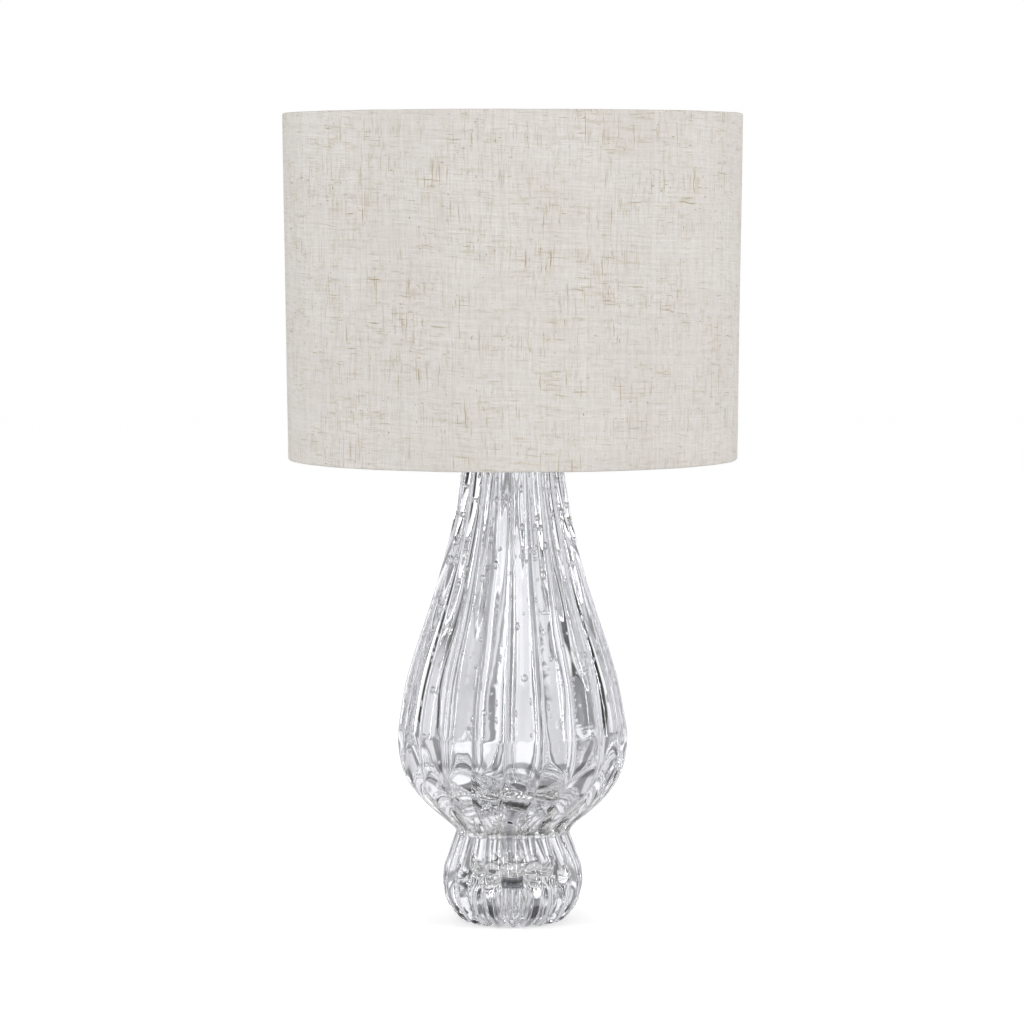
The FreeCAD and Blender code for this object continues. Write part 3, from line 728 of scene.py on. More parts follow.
def bubbleMesh():
    # closed hollows in the wall, their faces turned into the hollow
    dice = random.Random(glass["seed"] + 1)
    points, faces = [], []
    around, down = glass["bubbleSides"]
    for i in range(glass["bubbles"]):
        height = blend(*glass["bubbleZone"], dice.random() ** 0.85)
        outer, slope = wallAt(height)
        floor = 3.0 if height > 158 else 5.0
        radius = outer - glass["wall"] + blend(floor, glass["wall"] * 0.9, dice.random())
        turn = dice.uniform(0, 2 * math.pi)
        wide = blend(*glass["bubbleWidth"], dice.random() ** 1.5)
        tall = wide * blend(*glass["bubbleStretch"], dice.random())
        out = Vector(polar(1, turn, 0))
        aside = Vector((-math.sin(turn), math.cos(turn), 0))
        up = (out * slope + Vector((0, 0, 1))).normalized()
        away = aside.cross(up)
        centre = out * radius + Vector((0, 0, height))
        start = len(points)
        for j in range(down + 1):
            tip = math.pi * j / down
            for k in range(around):
                lap = 2 * math.pi * k / around
                offset = (away * math.cos(lap) + aside * math.sin(lap)) * wide * math.sin(tip)
                points.append(tuple(centre + offset + up * tall * math.cos(tip)))
        faces += gridFaces(down + 1, around, start=start)
    return points, faces


glassLook = dict(
    sockets=dict(Base_Color=(0.972, 0.974, 0.985, 1), Roughness=0.0, IOR=1.5, Transmission_Weight=1.0,
                 Specular_IOR_Level=0.5),
    fine=60, fineShare=0.4, ripple=(90, 90, 14), bump=(0.0006, 0.06),
    smear=24, smearSpan=(0.5, 0.75, 0.0, 0.03),
)


def clearGlass():
    look = glassLook
    material, tree, shader, place = newMaterial("clearGlass", **look["sockets"])
    fine = noiseAt(tree, place, look["fine"], 2, 0.5)
    tall = stretched(tree, place, look["ripple"])
    ripple = noiseAt(tree, tall, 1.0, 1, 0.5)
    height = plus(tree, times(tree, fine, look["fineShare"]), ripple)
    addBump(tree, shader, height, *look["bump"])
    smear = remap(tree, noiseAt(tree, place, look["smear"], 3, 0.6), *look["smearSpan"])
    tree.links.new(smear, shader.inputs["Roughness"])
    return material


glassPiece = makePiece("glassBase", joined(glassMesh(), bubbleMesh()), clearGlass(), "root",
                       ["glass_base", "glass_foot"], crease=70, keepNormals=True)
print("glass base is blown,", len(glassPiece.data.polygons), "faces")


shade = dict(
    top=706.0, bottom=406.0, topRadius=200.0, bottomRadius=196.0, cloth=0.8, roll=2.6, lip=5.1, tuck=7.5,
    steps=288, stepLength=9, waves=0.35, slack=0.4,
    seamWidth=12.0, seamStep=0.5, seamSoft=1.6, seamRadius=198,
    ringTop=703.35, ringBottom=408.65, ringTopRadius=197.32, ringBottomRadius=193.4, ringWire=1.7,
    linerTop=700.6, linerBottom=411.4, linerThickness=0.5, linerInset=1.24, linerLap=0.35, lapWidth=9,
    flat=(1.262, 0.326),
)


def shadeRadius(height):
    share = (height - shade["bottom"]) / (shade["top"] - shade["bottom"])
    return blend(shade["bottomRadius"], shade["topRadius"], share)


def shadeWave(height, angle):
    # the slow waves of a stiff sheet that is not quite round
    return roundNoise(angle, 3.4, height / 90) * shade["waves"]


linen = dict(
    pitch=0.00088, radius=0.198, slope=0.035,          # metres, and the fall of the threads
    runs=dict(                                         # seed, length, width, rarity and softness
        warp=(11.0, 0.026, 0.66, 0.615, 0.09), warpShort=(19.0, 0.12, 0.5, 0.66, 0.08),
        weft=(31.0, 0.034, 0.62, 0.625, 0.09), weftShort=(43.0, 0.12, 0.5, 0.655, 0.08),
        warpHalo=(11.0, 0.045, 0.3, 0.54, 0.14), weftHalo=(31.0, 0.04, 0.3, 0.54, 0.14),
        warpFleck=(71.0, 0.16, 0.62, 0.715, 0.05), weftFleck=(83.0, 0.16, 0.62, 0.72, 0.05),
    ),
    sag=0.012, drift=0.008,                            # how far the threads wander
    dark=srgb(205, 201, 196), light=srgb(233, 229, 225), toneSpan=(0.54, 1.04),
    cloud=srgb(209, 202, 196), cloudSpan=(0.3, 0.7, 0.0, 0.5),
    slub=srgb(164, 148, 110), slubShare=0.95, haloShare=0.27, slubHeight=1.2,
    fleck=srgb(112, 98, 80), fleckShare=0.8,
    # the gap tone is painted shade in the dips between threads; the span after it says how much falls where
    # a thread is low
    gap=srgb(170, 163, 155), gapShadeSpan=(0.0, 0.6, 0.16, 0.0), bump=(0.00022, 0.5),
)


def makeLinenWeave():
    # threads both ways round the drum, each with its own tone, and thick slubs in some of them
    group, given, made = newGroup("linenWeave", [
        ("Vector", "NodeSocketVector", (0, 0, 0)),
        ("Pitch", "NodeSocketFloat", linen["pitch"]),
        ("Slubs", "NodeSocketFloat", 1.0),
    ], [("Thread", "NodeSocketFloat"), ("Tone", "NodeSocketFloat"), ("Slub", "NodeSocketFloat"),
        ("Halo", "NodeSocketFloat"), ("Fleck", "NodeSocketFloat"), ("Cloud", "NodeSocketFloat")])
    parts = split(group, given[0])
    back = times(group, parts[1], -1.0)
    lap = times(group, maths(group, "ARCTAN2", parts[0], back), linen["radius"])
    sag = times(group, noiseAt(group, given[0], 7, 2), linen["sag"])
    drift = times(group, noiseAt(group, given[0], 9, 2), linen["drift"])
    slope = times(group, lap, linen["slope"])
    level = plus(group, plus(group, parts[2], slope), sag)
    warp = maths(group, "DIVIDE", plus(group, lap, drift), given[1])
    weft = maths(group, "DIVIDE", level, given[1])

    def threads(across, along, seed):
        row = maths(group, "FLOOR", across)
        own = addNode(group, "ShaderNodeTexWhiteNoise", {"W": plus(group, row, seed)},
                      noise_dimensions="1D").outputs[0]
        spot = combine(group, times(group, row, 7.31), times(group, along, 0.05), seed)
        wander = noiseAt(group, spot, 1.0, 3, 0.6)
        crown = maths(group, "ABSOLUTE", maths(group, "SINE", times(group, across, math.pi)))
        return row, own, wander, crown

    warpRow, warpOwn, warpWander, warpCrown = threads(warp, weft, 3.0)
    weftRow, weftOwn, weftWander, weftCrown = threads(weft, warp, 57.0)
    check = maths(group, "PINGPONG", plus(group, warpRow, weftRow), 1.0)
    high = addNode(group, "ShaderNodeMix", {0: check, 2: warpCrown, 3: weftCrown}).outputs[0]
    group.links.new(high, made[0])
    pair = times(group, plus(group, warpOwn, weftOwn), 0.14)
    stray = times(group, plus(group, warpWander, weftWander), 0.6)
    group.links.new(plus(group, pair, stray), made[1])

    def slubs(name):
        # short thick runs in single threads, which wander a little sideways
        across, along = (warp, weft) if name.startswith("warp") else (weft, warp)
        seed, length, width, rare, soft = linen["runs"][name]
        stray = times(group, noiseAt(group, given[0], 120, 2), 2.4)
        side = times(group, plus(group, across, stray), width)
        spot = combine(group, side, times(group, along, length), seed)
        return remap(group, noiseAt(group, spot, 1.0, 2, 0.5), rare, rare + soft, smooth=True)

    def either(*names):
        return maths(group, "MAXIMUM", *[slubs(name) for name in names])

    upright = either("warp", "warpShort")
    lying = either("weft", "weftShort")
    patchy = remap(group, noiseAt(group, given[0], 26, 3, 0.6), 0.4, 0.62, 0.3, 1.0)
    both = times(group, maths(group, "MAXIMUM", upright, lying), patchy)
    group.links.new(times(group, both, given[2], clamp=True), made[2])
    halo = either("warpHalo", "weftHalo")
    group.links.new(times(group, halo, patchy), made[3])
    fleck = either("warpFleck", "weftFleck")
    group.links.new(fleck, made[4])
    group.links.new(noiseAt(group, given[0], 16, 4, 0.6), made[5])
    return group


def makeLinen():
    material, tree, shader, place = newMaterial("linen", Roughness=0.92, Sheen_Weight=0.12,
                                                Sheen_Roughness=0.45)
    shader.inputs["Specular IOR Level"].default_value = 0.25
    thread, tone, slub, halo, fleck, cloud = useGroup(tree, makeLinenWeave(), Vector=place)
    base = mixColour(tree, remap(tree, tone, *linen["toneSpan"]), linen["dark"], linen["light"])
    base = mixColour(tree, remap(tree, cloud, *linen["cloudSpan"]), base, linen["cloud"])
    for mask, share, colour in ((halo, "haloShare", "slub"), (slub, "slubShare", "slub"),
                                (fleck, "fleckShare", "fleck")):
        base = mixColour(tree, times(tree, mask, linen[share]), base, linen[colour])
    # painted shade between the threads, darker where each thread dips
    base = mixColour(tree, remap(tree, thread, *linen["gapShadeSpan"]), base, linen["gap"])
    tree.links.new(base, shader.inputs["Base Color"])
    raised = plus(tree, thread, times(tree, slub, linen["slubHeight"]))
    addBump(tree, shader, raised, *linen["bump"])
    return material


def makeShadeCover():
    # outside, turned in at both ends, and back down the inside of the cloth
    top, bottom, cloth, tuck = shade["top"], shade["bottom"], shade["cloth"], shade["tuck"]
    wideTop, wideBottom = shadeRadius(top), shadeRadius(bottom)
    lipTop, lipBottom = wideTop - shade["lip"], wideBottom - shade["lip"]

    def corners(depth):
        # of one side of the cloth, from the lower tuck to the upper one
        return [(lipBottom + depth, bottom + tuck), (lipBottom + depth, bottom + depth),
                (wideBottom - depth, bottom + depth), (wideTop - depth, top - depth),
                (lipTop + depth, top - depth), (lipTop + depth, top - tuck)]

    def parts(here, there):
        return max(1, round((Vector(there) - Vector(here)).length / shade["stepLength"]))

    loop = softened(corners(0), shade["roll"], closed=False, arc=6)
    loop += softened(corners(cloth)[::-1], shade["roll"] - cloth, closed=False, arc=6)
    rows = divided(loop, parts, closed=True)
    middle = (top + bottom) / 2

    def clothShape(r, z, angle):
        away = (angle - math.pi / 2) * shade["seamRadius"]    # from the seam, at the back
        seam = shade["seamStep"] * ease((away + shade["seamWidth"] / 2) / shade["seamSoft"])
        seam *= 1 - ease((away - shade["seamWidth"] / 2) / shade["seamSoft"])
        lift = roundNoise(angle, 6, 3.0) * shade["waves"] * ease((abs(z - middle) - 120) / 30)
        return r + shadeWave(z, angle) - shade["slack"] + seam, z + lift * (-1 if z > middle else 1) * 0.5

    return turned(rows, shade["steps"], clothShape)


cover = makePiece("shadeCover", makeShadeCover(), makeLinen(), "shade", ["shade_cover"], crease=60)
print("linen is rolled onto the rings")

shadeStiff = dict(
    hubRadius=14.0, hubBore=3.7, hubLow=690.0, hubTop=691.6, arms=3, armRadius=1.6, armLevel=692.6,
    riseStart=20.0, riseEnd=52.0, armEnd=195.7, armTop=703.35, ringSteps=180, linerSteps=180,
)


def makeRing(radius, height):
    wire, count = shade["ringWire"] * 2, shadeStiff["ringSteps"]
    turns = [2 * math.pi * i / count for i in range(count)]
    path = [polar(radius, turn, height) for turn in turns]
    return swept(path, barSection(wire, wire, 0.55), closed=True)


def makeSpider():
    look = shadeStiff
    low, top, bore = look["hubLow"], look["hubTop"], look["hubBore"]
    hub = turned(softened([(bore, low), (look["hubRadius"], low), (look["hubRadius"], top + 0.5),
                           (look["hubRadius"] - 2.2, top), (bore + 1.6, top), (bore + 0.9, top + 0.5),
                           (bore, top + 0.4)], 0.4), 64)
    pieces = [hub]
    for arm in range(look["arms"]):
        turn = math.radians(90 + 360 * arm / look["arms"])
        level, high = look["armLevel"], look["armTop"]
        line = [(8.3, level), (14, level), (look["riseStart"], level + 0.35)]
        span = look["riseEnd"] - look["riseStart"]
        line += [(look["riseStart"] + span * k / 6, blend(level, high, ease(k / 6))) for k in range(1, 7)]
        line += [(90, high), (140, high), (look["armEnd"], high)]
        path = [polar(r, turn, z) for r, z in smoothLine(line, 5)]
        pieces.append(swept(path, roundSection(look["armRadius"])))
        # a bead of weld where the arm meets the hub and the ring
        for spot, fat in ((9.4, 0.7), (look["armEnd"] - 1.2, 0.6)):
            place = Vector(polar(spot, turn, level if spot < 20 else high))
            out = Vector(polar(1, turn, 0))
            steps = [(-2.2, 0.0), (-1.4, 0.7), (0, 1.0), (1.2, 0.8)]
            for (a, b), (c, d) in zip(steps, steps[1:]):
                section = roundSection(look["armRadius"] + fat * (b + d) / 2)
                pieces.append(swept([place + out * a, place + out * c], section))
    return joined(*pieces)


def makeLiner():
    # one stiff sheet, lapped at the back under the linen's seam
    low, top = shade["linerBottom"], shade["linerTop"]
    levels = [blend(low, top, i / 34) for i in range(35)]
    rows = [(0, z) for z in levels] + [(1, z) for z in reversed(levels)]

    def sheet(side, z, angle):
        lap = shade["linerLap"] * ease(1 - abs((angle - math.pi / 2) * 196) / shade["lapWidth"])
        r = shadeRadius(z) - shade["linerInset"] + shadeWave(z, angle)
        return r - side * shade["linerThickness"] - side * lap, z

    return turned(rows, shadeStiff["linerSteps"], sheet)


for name, node, radius, height in (
        ("topRing", "shade_top_ring", shade["ringTopRadius"], shade["ringTop"]),
        ("bottomRing", "shade_bottom_ring", shade["ringBottomRadius"], shade["ringBottom"])):
    makePiece(name, makeRing(radius, height), whiteWire, "shade", [node])
makePiece("spider", makeSpider(), whiteWire, "shade", ["shade_spider"], crease=50)
makePiece("liner", makeLiner(), whiteLiner, "shade", ["shade_liner"], crease=50)
print("rings, spider and liner are in the shade")


def addFitting(name, node, mesh, material, body="root", crease=32):
    return makePiece(name, mesh, material, body, [node], crease)


def threadRows(look, low, top):
    radius, pitch, depth = look["radius"], look["pitch"], look["depth"]
    rows, height = [], low
    while height < top - 1e-6:
        rows += [(radius - depth, height), (radius, min(height + pitch * 0.45, top)),
                 (radius, min(height + pitch * 0.6, top))]
        height += pitch
    return rows + [(radius - depth, top)]


def waveRows(radius, low, top, pitch=3.6, depth=0.45):
    # rolled round thread
    steps = round((top - low) / pitch * 8)
    levels = [blend(low, top, i / steps) for i in range(steps + 1)]
    return [(radius - depth * (0.5 - 0.5 * math.cos(2 * math.pi * (z - low) / pitch)), z) for z in levels]


def hexNut(flats, bore, low, top):
    # six flats whose corners are turned off at both ends
    corner = flats / 2 / math.cos(math.pi / 6)
    rise = (corner - flats / 2 + 0.25) * 0.5

    def nutShape(r, z, angle):
        off = (angle + math.pi / 6) % (math.pi / 3) - math.pi / 6
        return r if r <= bore + 0.8 else min(r, flats / 2 / math.cos(off)), z

    rows = [(bore, low + 0.5), (bore + 0.7, low), (flats / 2 - 0.3, low), (corner, low + rise),
            (corner, blend(low, top, 0.5)), (corner, top - rise), (flats / 2 - 0.3, top), (bore + 0.7, top),
            (bore, top - 0.5)]
    return turned(divided(rows, lambda here, there: 4), 96, nutShape)


footWasher = dict(outline=ring(5.3, 24.0, 48.0, 50.0), corner=0.5)
footSeal = dict(outline=ring(5.3, 22.0, 50.0, 52.0), corner=0.6)
footNut = dict(flats=17.0, bore=5.02, low=40.0, top=48.0)
lampRod = dict(radius=5.0, bore=3.6, low=37.0, top=466.2, threaded=(58.0, 442.0), pitch=1.0,
               depth=0.45)
neckGasket = dict(outline=ring(33.5, 38.5, 455.0, 457.0), corner=0.7)


def makeRod():
    look = lampRod
    low, top = look["threaded"]
    rows = [(look["bore"], look["low"])] + threadRows(look, look["low"], low)
    rows += [(look["radius"], blend(low + 2, top - 2, i / 10)) for i in range(11)]
    rows += threadRows(look, top, look["top"])
    return turned(rows + [(look["bore"], look["top"])], 48)


addFitting("footWasher", "foot_washer", lathe(**footWasher), zincSteel)
addFitting("footSeal", "foot_seal", lathe(**footSeal), greyRubber)
addFitting("footNut", "foot_nut", hexNut(**footNut), zincSteel, crease=24)
addFitting("lampRod", "threaded_rod", makeRod(), polishedSteel)
addFitting("neckGasket", "neck_gasket", lathe(**neckGasket), greyRubber)

neckCap = dict(                            # spun from sheet, with a rolled lower edge
    outline=[(5.3, 457.0), (39.2, 457.0), (40.6, 455.6), (40.6, 449.4), (40.5, 448.6), (40.9, 448.0),
             (41.7, 448.0), (42.1, 448.7), (41.9, 449.5), (41.8, 450.2), (41.8, 456.4), (40.2, 458.2),
             (24.0, 458.2), (22.6, 457.9), (20.4, 457.9), (19.0, 458.2), (5.3, 458.2)],
    corner=0.9, arc=4, sides=128,
)
coupling = dict(
    rows=[(5.05, 458.2), (10.4, 458.2), (11.0, 458.8), (11.0, 460.4), (10.7, 460.7), (10.7, 461.3),
          (11.0, 461.6), (11.0, 478.8), (10.7, 479.1), (10.7, 479.7), (11.0, 480.0), (11.0, 481.6),
          (10.4, 482.2), (5.05, 482.2), (5.05, 470.2)],
    hole=470.2, flat=10.2, flatHeight=7.0, flatWidth=6.9,     # the spot face round the cord's hole
)
inletBush = dict(
    outline=[(3.2, 5.6), (4.4, 5.6), (4.5, 6.0), (4.5, 10.2), (6.5, 10.2), (6.5, 11.2), (6.0, 12.0),
             (4.4, 12.2), (3.5, 12.0), (3.2, 11.4)],
    corner=0.25, sides=48,
)
nipple = dict(bore=3.6, radius=5.0, low=474.2, top=491.2, pitch=1.0, depth=0.45)


def makeCoupling():
    look = coupling

    def spotFace(r, z, angle):
        beside = abs(r * math.cos(angle)) < look["flatWidth"] and abs(z - look["hole"]) < look["flatHeight"]
        if math.sin(angle) > 0.5 and r > 8 and beside:
            return min(r, look["flat"] / max(math.sin(angle), 0.2)), z
        return r, z

    def parts(here, there):
        return max(1, round(abs(here[1] - there[1]) / 1.2))

    return turned(divided(look["rows"], parts), 96, spotFace)


def makeNipple():
    look = nipple
    thread = threadRows(look, look["low"], look["top"])
    return turned([(look["bore"], look["low"])] + thread + [(look["bore"], look["top"])], 48)


addFitting("neckCap", "neck_cap", lathe(**neckCap), satinNickel, crease=40)
addFitting("coupling", "neck_coupling", makeCoupling(), satinNickel)
bush = tipped(lathe(**inletBush), "+y", (0, 0, coupling["hole"]))
addFitting("inletBush", "inlet_bush", bush, blackPlastic)
addFitting("nipple", "upper_nipple", makeNipple(), zincSteel)

saddle = dict(
    half=26.25, level=482.95, bend=2.2, thickness=1.5,
    ear=[495.4, 494.0, 490.0, 487.2], flat=[18.0, 12.0, 6.0, 0.0],
    widths=[3.4, 4.9, 5.0, 5.0, 5.2, 5.6, 6.2, 7.0, 7.8, 8.6, 9.4, 12.4, 13.0, 13.0, 13.0],
)
saddleNut = dict(flats=16.0, bore=5.02, low=483.7, top=486.7)
harp = dict(wire=1.8, leg=23.4, foot=484.0, knee=511.0, hip=557.0, half=53.0, drop=62.0, top=685.9)


def makeSaddle():
    # narrow ears stand up from a flat strip under the lampholder; a strip bent in the XZ plane
    half, level, bend = saddle["half"], saddle["level"], saddle["bend"]
    side = [(half, z) for z in saddle["ear"]] + [(half, level + bend)]
    for k in range(1, 6):
        turn = math.radians(90 * k / 6)
        side.append((half - bend * (1 - math.cos(turn)), level + bend * (1 - math.sin(turn))))
    side += [(half - bend, level)] + [(x, level) for x in saddle["flat"]]
    path = [Vector((x, 0, z)) for x, z in side + [(-x, z) for x, z in reversed(side[:-1])]]
    widths = saddle["widths"] + saddle["widths"][-2::-1]
    loops = []
    for i, here in enumerate(path):
        along = (path[min(i + 1, len(path) - 1)] - path[max(i - 1, 0)]).normalized()
        across = Vector((along.z, 0, -along.x))
        section = barSection(widths[i], saddle["thickness"], 0.35)
        loops.append([tuple(here + Vector((0, a, 0)) + across * b) for a, b in section])
    return stacked(loops)


def makeHarp():
    leg, foot, knee, half = harp["leg"], harp["foot"], harp["knee"], harp["half"]
    rise = harp["hip"] - knee
    right = [(leg, foot), (leg, foot + 8), (leg, foot + 19), (leg, knee - 2)]
    right += [(blend(leg, half, ease(k / 8)), knee + rise * k / 8) for k in range(1, 8)]
    right += [(half, harp["hip"] + 2), (half, 580.0), (half, 604.0)]
    for k in range(9):
        turn = math.radians(90 * k / 9)
        right.append((half * math.cos(turn), harp["top"] - harp["drop"] * (1 - math.sin(turn))))
    path = right + [(0.0, harp["top"])] + [(-x, z) for x, z in reversed(right)]
    curve = smoothLine([(x, 0, z) for x, z in path], 5)
    return swept(curve, roundSection(harp["wire"], 20), flat=(0, 1, 0))


addFitting("saddle", "harp_saddle", makeSaddle(), satinNickel, crease=40)
addFitting("saddleNut", "saddle_nut", hexNut(**saddleNut), zincSteel, crease=24)
addFitting("harp", "harp_bow", makeHarp(), satinNickel, "harp", crease=60)

harpStud = dict(
    block=9.0, blockCorner=0.8, blockRows=[(0.86, 682.6), (1.0, 683.3), (1.0, 687.1), (0.9, 687.7)],
    seat=dict(outline=ring(0.01, 7.0, 687.7, 689.7), corner=0.5, sides=64),
    neck=2.7, radius=3.1, low=690.3, top=701.9, pitch=0.8, depth=0.35,
)
harpSleeve = dict(
    outline=[(3.88, 484.0), (4.5, 484.0), (4.68, 484.5), (4.68, 486.0), (4.45, 486.4), (4.45, 495.6),
             (4.68, 496.0), (4.68, 498.2), (4.2, 499.0), (2.4, 499.0), (2.1, 498.6), (2.1, 497.0),
             (3.88, 497.0)],
    corner=0.25, sides=48,
)


def makeStud():
    look = harpStud
    square = barSection(look["block"], look["block"], look["blockCorner"])
    block = stacked([[(x * share, y * share, z) for x, y in square] for share, z in look["blockRows"]])
    rows = [(0.01, 689.7), (look["neck"], 689.7)] + threadRows(look, look["low"], look["top"])
    return joined(block, lathe(**look["seat"]), turned(rows + [(2.2, 702.7), (0.01, 702.7)], 40))


addFitting("harpStud", "harp_stud", makeStud(), satinNickel, "harp")
for side, x in (("left", -24.3), ("right", 24.3)):
    addFitting("sleeve" + side.title(), "harp_sleeve_" + side, moved(lathe(**harpSleeve), x), satinNickel,
               "sleeve_" + side)
print("rod, nuts, neck cap, saddle and harp are made")

holder = dict(
    keyHeight=506.8, capBottom=486.7, capTop=503.7, capRadius=17.1, shellBottom=499.7, shellTop=546.7,
    shellRadius=16.5, beads=(514.6, 517.4), sheet=0.6, blockBottom=491.8, blockTop=513.8, blockRadius=14.6,
    flats=11.5, flatTop=509.8, threadRadius=14.2, threadTop=536.8, threadSheet=0.35, tongueRadius=6.0,
)
insulator = dict(outline=ring(15.3, 15.8, 499.7, 545.7), corner=0.15)
stemCollar = dict(outline=[(1.68, 14.9), (4.2, 14.9), (4.2, 16.9), (3.7, 17.4), (2.3, 17.6), (1.68, 17.4)],
                  corner=0.25, sides=48)
centreContact = dict(outline=[(0.01, 513.8), (4.0, 513.8), (4.0, 514.5), (2.6, 515.1), (1.4, 515.4),
                              (0.01, 515.4)], corner=0.3, sides=48)
terminal = dict(height=501.8, head=3.2, base=11.5, rim=12.3, top=13.4, slot=0.45)


def makeSocketCap():
    low, top, radius = holder["capBottom"], holder["capTop"], holder["capRadius"]
    outline = [(5.02, low), (7.5, low), (7.5, low + 4.5), (15.3, low + 4.5), (radius, low + 6.8),
               (radius, low + 9.6), (16.8, low + 10.2), (radius, low + 10.8), (radius, top - 1.5),
               (16.95, top - 0.2), (16.55, top), (16.5, top - 1.0), (16.5, low + 7.0), (14.9, low + 5.1),
               (6.6, low + 5.1), (5.02, low + 4.6)]
    return lathe(outline, 0.9, 128, arc=4)


def makeSocketShell():
    # drawn tube with two beads, a lip at the mouth and a collar round the switch stem
    low, top, radius = holder["shellBottom"], holder["shellTop"], holder["shellRadius"]
    outer = [(radius - 0.2, low), (radius, low + 0.4), (radius, low + 13.0)]
    for bead in holder["beads"]:
        outer += [(radius, bead - 0.9), (radius - 0.45, bead), (radius, bead + 0.9)]
    outer += [(radius, top - 3.4), (radius - 0.35, top - 2.6), (radius, top - 1.8), (radius, top - 0.5),
              (radius - 0.25, top)]
    inner = [(r - holder["sheet"], z) for r, z in reversed(outer)]
    collar = tipped(lathe(**stemCollar), "-y", (0, 0, holder["keyHeight"]))
    return joined(lathe(outer + inner, 0.4, 128), collar)


def makeSwitchBlock():
    low, top, radius = holder["blockBottom"], holder["blockTop"], holder["blockRadius"]
    flatTop = holder["flatTop"]
    rows = [(2.0, low), (radius - 1.6, low), (radius, low + 1.6), (radius, flatTop - 0.6),
            (radius, flatTop), (radius, top - 1.0), (radius - 0.8, top), (2.0, top)]
    points, faces = turned(divided(rows, lambda here, there: 3), 120)
    flats = holder["flats"]
    return [(min(max(x, -flats), flats) if z < flatTop - 0.1 else x, y, z) for x, y, z in points], faces


def halfDisc(radius, gap, low, top):
    # one side of a slotted screw head
    turn = math.asin(gap / radius)
    arc = [blend(turn, math.pi - turn, k / 14) for k in range(15)]
    outline = [(radius * math.cos(a), radius * math.sin(a)) for a in arc]
    middle = gap + (radius - gap) * 0.35
    return stacked([[(x * share, middle + (y - middle) * share, z) for x, y in outline]
                    for share, z in ((1.0, low), (1.0, blend(low, top, 0.55)), (0.9, top))])


def makeTerminals():
    head, rim = terminal["head"], terminal["rim"]
    base = lathe(ring(0.01, head, terminal["base"], rim), 0.2, 40)
    near = halfDisc(head * 0.94, terminal["slot"], rim, terminal["top"])
    far = [(-x, -y, z) for x, y, z in near[0]], near[1]
    return joined(*[tipped(part, side, (0, 0, terminal["height"]))
                    for side in ("-x", "+x") for part in (base, near, far)])


def makeScrewShell():
    low, tongue = holder["blockTop"], holder["tongueRadius"]
    outer = waveRows(holder["threadRadius"], low, holder["threadTop"])
    inner = [(r - holder["threadSheet"], z) for r, z in reversed(outer)]
    return turned(outer + inner + [(tongue, low + holder["threadSheet"]), (tongue, low)], 96)


addFitting("socketCap", "socket_cap", makeSocketCap(), satinNickel, crease=40)
addFitting("socketShell", "socket_shell", makeSocketShell(), satinNickel, crease=40)
addFitting("insulator", "socket_insulator", lathe(**insulator), cardInsulation)
addFitting("switchBlock", "switch_block", makeSwitchBlock(), whitePorcelain)
addFitting("terminals", "terminal_screws", makeTerminals(), zincSteel)
addFitting("screwShell", "screw_shell", makeScrewShell(), brassContact, crease=60)
addFitting("centreContact", "centre_contact", lathe(**centreContact), brassContact)

keyStem = [(0.01, 5.0), (1.6, 5.0), (1.6, 26.6), (1.45, 27.0), (1.45, 29.6), (1.2, 30.0), (0.01, 30.0)]
keyPaddle = dict(reach=(28.0, 40.0), width=8.5, thick=2.2, power=2.6, dent=0.55, around=48, down=20)


def makeKeyPaddle():
    # a flattened grip that thins towards its rim, with finger hollows on both faces
    near, far = keyPaddle["reach"]
    middle, length = (near + far) / 2, (far - near) / 2
    around, down = keyPaddle["around"], keyPaddle["down"]

    def squared(value):
        return math.copysign(abs(value) ** (2 / keyPaddle["power"]), value)

    points = []
    for j in range(down + 1):
        tip = math.pi * j / down
        rim = math.sin(tip) ** (2 / keyPaddle["power"])
        for k in range(around):
            lap = 2 * math.pi * k / around
            x, y, z = squared(math.cos(lap)) * rim, squared(math.sin(lap)) * rim, squared(math.cos(tip))
            hollow = keyPaddle["dent"] * max(0, 1 - (abs(x) - 0.5) ** 2 * 9) if abs(x) < 0.85 else 0
            points.append((x * keyPaddle["width"], -middle + y * length,
                           holder["keyHeight"] + z * (keyPaddle["thick"] - hollow)))
    return points, gridFaces(down + 1, around)


stem = tipped(turned(keyStem, 32), "-y", (0, 0, holder["keyHeight"]))
addFitting("keyStem", "key_stem", stem, satinNickel, "switch_key")
addFitting("keyPaddle", "key_paddle", makeKeyPaddle(), blackPlastic, "switch_key", crease=70)
print("lampholder and switch are made")

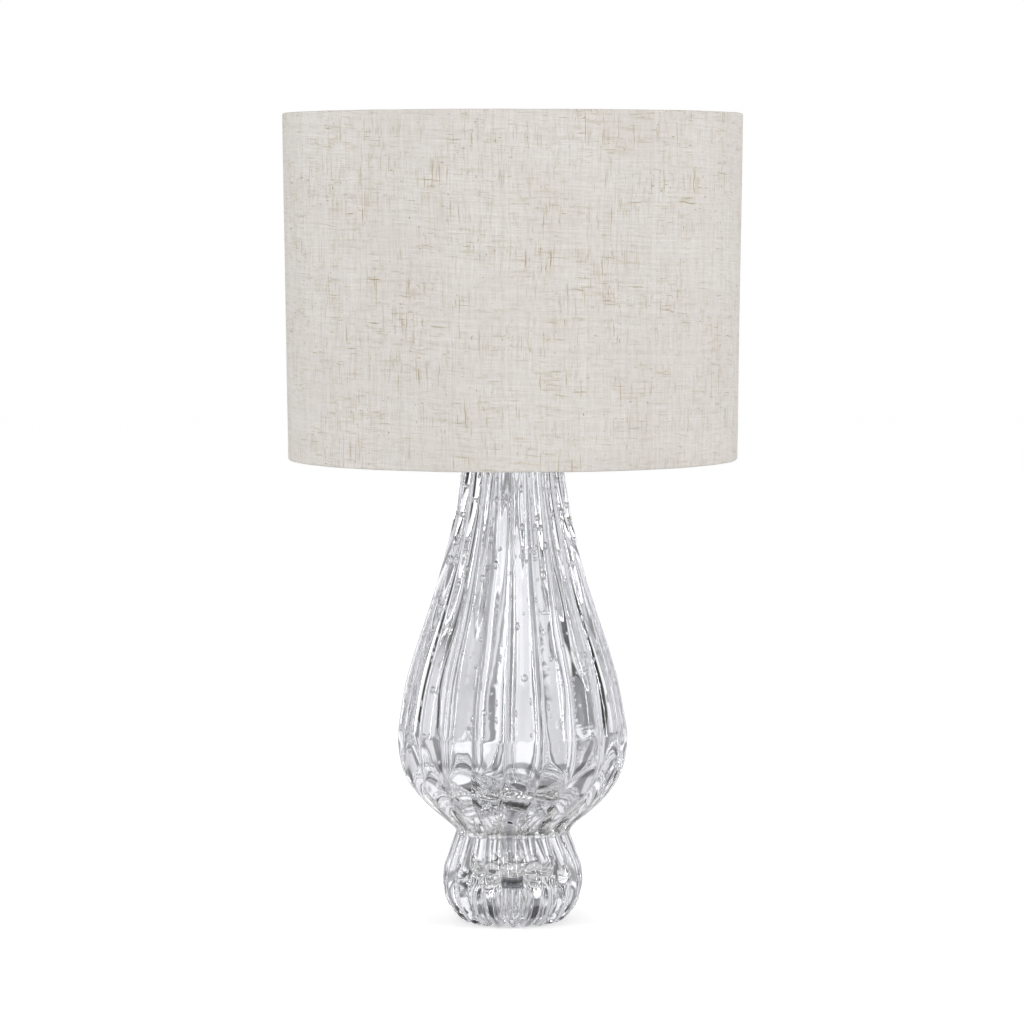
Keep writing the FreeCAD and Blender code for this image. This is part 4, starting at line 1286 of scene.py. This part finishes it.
bulb = dict(
    capRadius=13.0, capLow=519.7, capTop=540.7, capWave=0.7,
    envelope=[(12.6, 540.7), (12.9, 544.0), (14.6, 551.0), (18.6, 560.5), (23.6, 570.5), (27.6, 580.0),
              (29.8, 590.0), (29.5, 599.1), (27.6, 605.4), (23.6, 612.2), (17.4, 618.1), (9.6, 622.1),
              (3.2, 623.1), (0.02, 623.2)],
    insulator=dict(outline=[(3.4, 517.3), (4.4, 517.4), (9.5, 519.5), (9.5, 519.7), (3.4, 519.7)],
                   corner=0.3, sides=64),
    contact=dict(outline=[(0.01, 515.7), (2.4, 515.75), (3.5, 516.5), (3.5, 517.3), (0.01, 517.3)],
                 corner=0.4, sides=48),
)
finial = dict(                             # a turned cap with a knurled flange over the stud
    outline=[(3.4, 691.9), (7.1, 691.9), (7.5, 692.4), (7.5, 694.2), (7.0, 694.8), (5.3, 695.1),
             (4.6, 696.2), (4.6, 697.4), (5.0, 698.4), (5.0, 701.6), (4.7, 703.4), (3.4, 704.9),
             (1.4, 705.5), (0.01, 705.5), (0.01, 703.4), (3.4, 703.4)],
    knurls=36, knurlDepth=0.14, flange=(7.2, 692.2, 694.5),
)


def makeEnvelope():
    rows = [(0.02, 541.2), (12.0, 541.0)] + [(max(r, 0.02), z) for r, z in smoothLine(bulb["envelope"], 5)]
    return turned(rows, 96, closed=False)


def makeBulbCap():
    low, top, radius = bulb["capLow"], bulb["capTop"], bulb["capRadius"]
    rows = [(9.4, low), (11.2, low + 0.4)] + waveRows(radius, low + 1.2, low + 15.6, depth=bulb["capWave"])
    rows += [(radius - 0.4, low + 16.4), (radius - 0.4, top - 1.2), (radius, top - 0.4), (radius - 0.2, top)]
    return turned(rows + [(12.2, top), (12.0, top - 0.6), (9.4, low + 1.0)], 96)


def makeFinial():
    flange, low, top = finial["flange"]

    def knurl(r, z, angle):
        groove = finial["knurlDepth"] * (0.5 + 0.5 * math.cos(angle * finial["knurls"]))
        return r - (groove if r > flange and low < z < top else 0), z

    return turned(softened(finial["outline"], 0.5, arc=4), 180, knurl)


addFitting("bulbEnvelope", "bulb_envelope", makeEnvelope(), opalGlass, "bulb", crease=60)
addFitting("bulbCap", "bulb_cap", makeBulbCap(), capNickel, "bulb", crease=50)
addFitting("bulbInsulator", "bulb_insulator", lathe(**bulb["insulator"]), blackPlastic, "bulb")
addFitting("bulbContact", "bulb_contact", lathe(**bulb["contact"]), brassContact, "bulb")
addFitting("finial", "finial", makeFinial(), satinNickel, "finial")
print("bulb and finial are made")
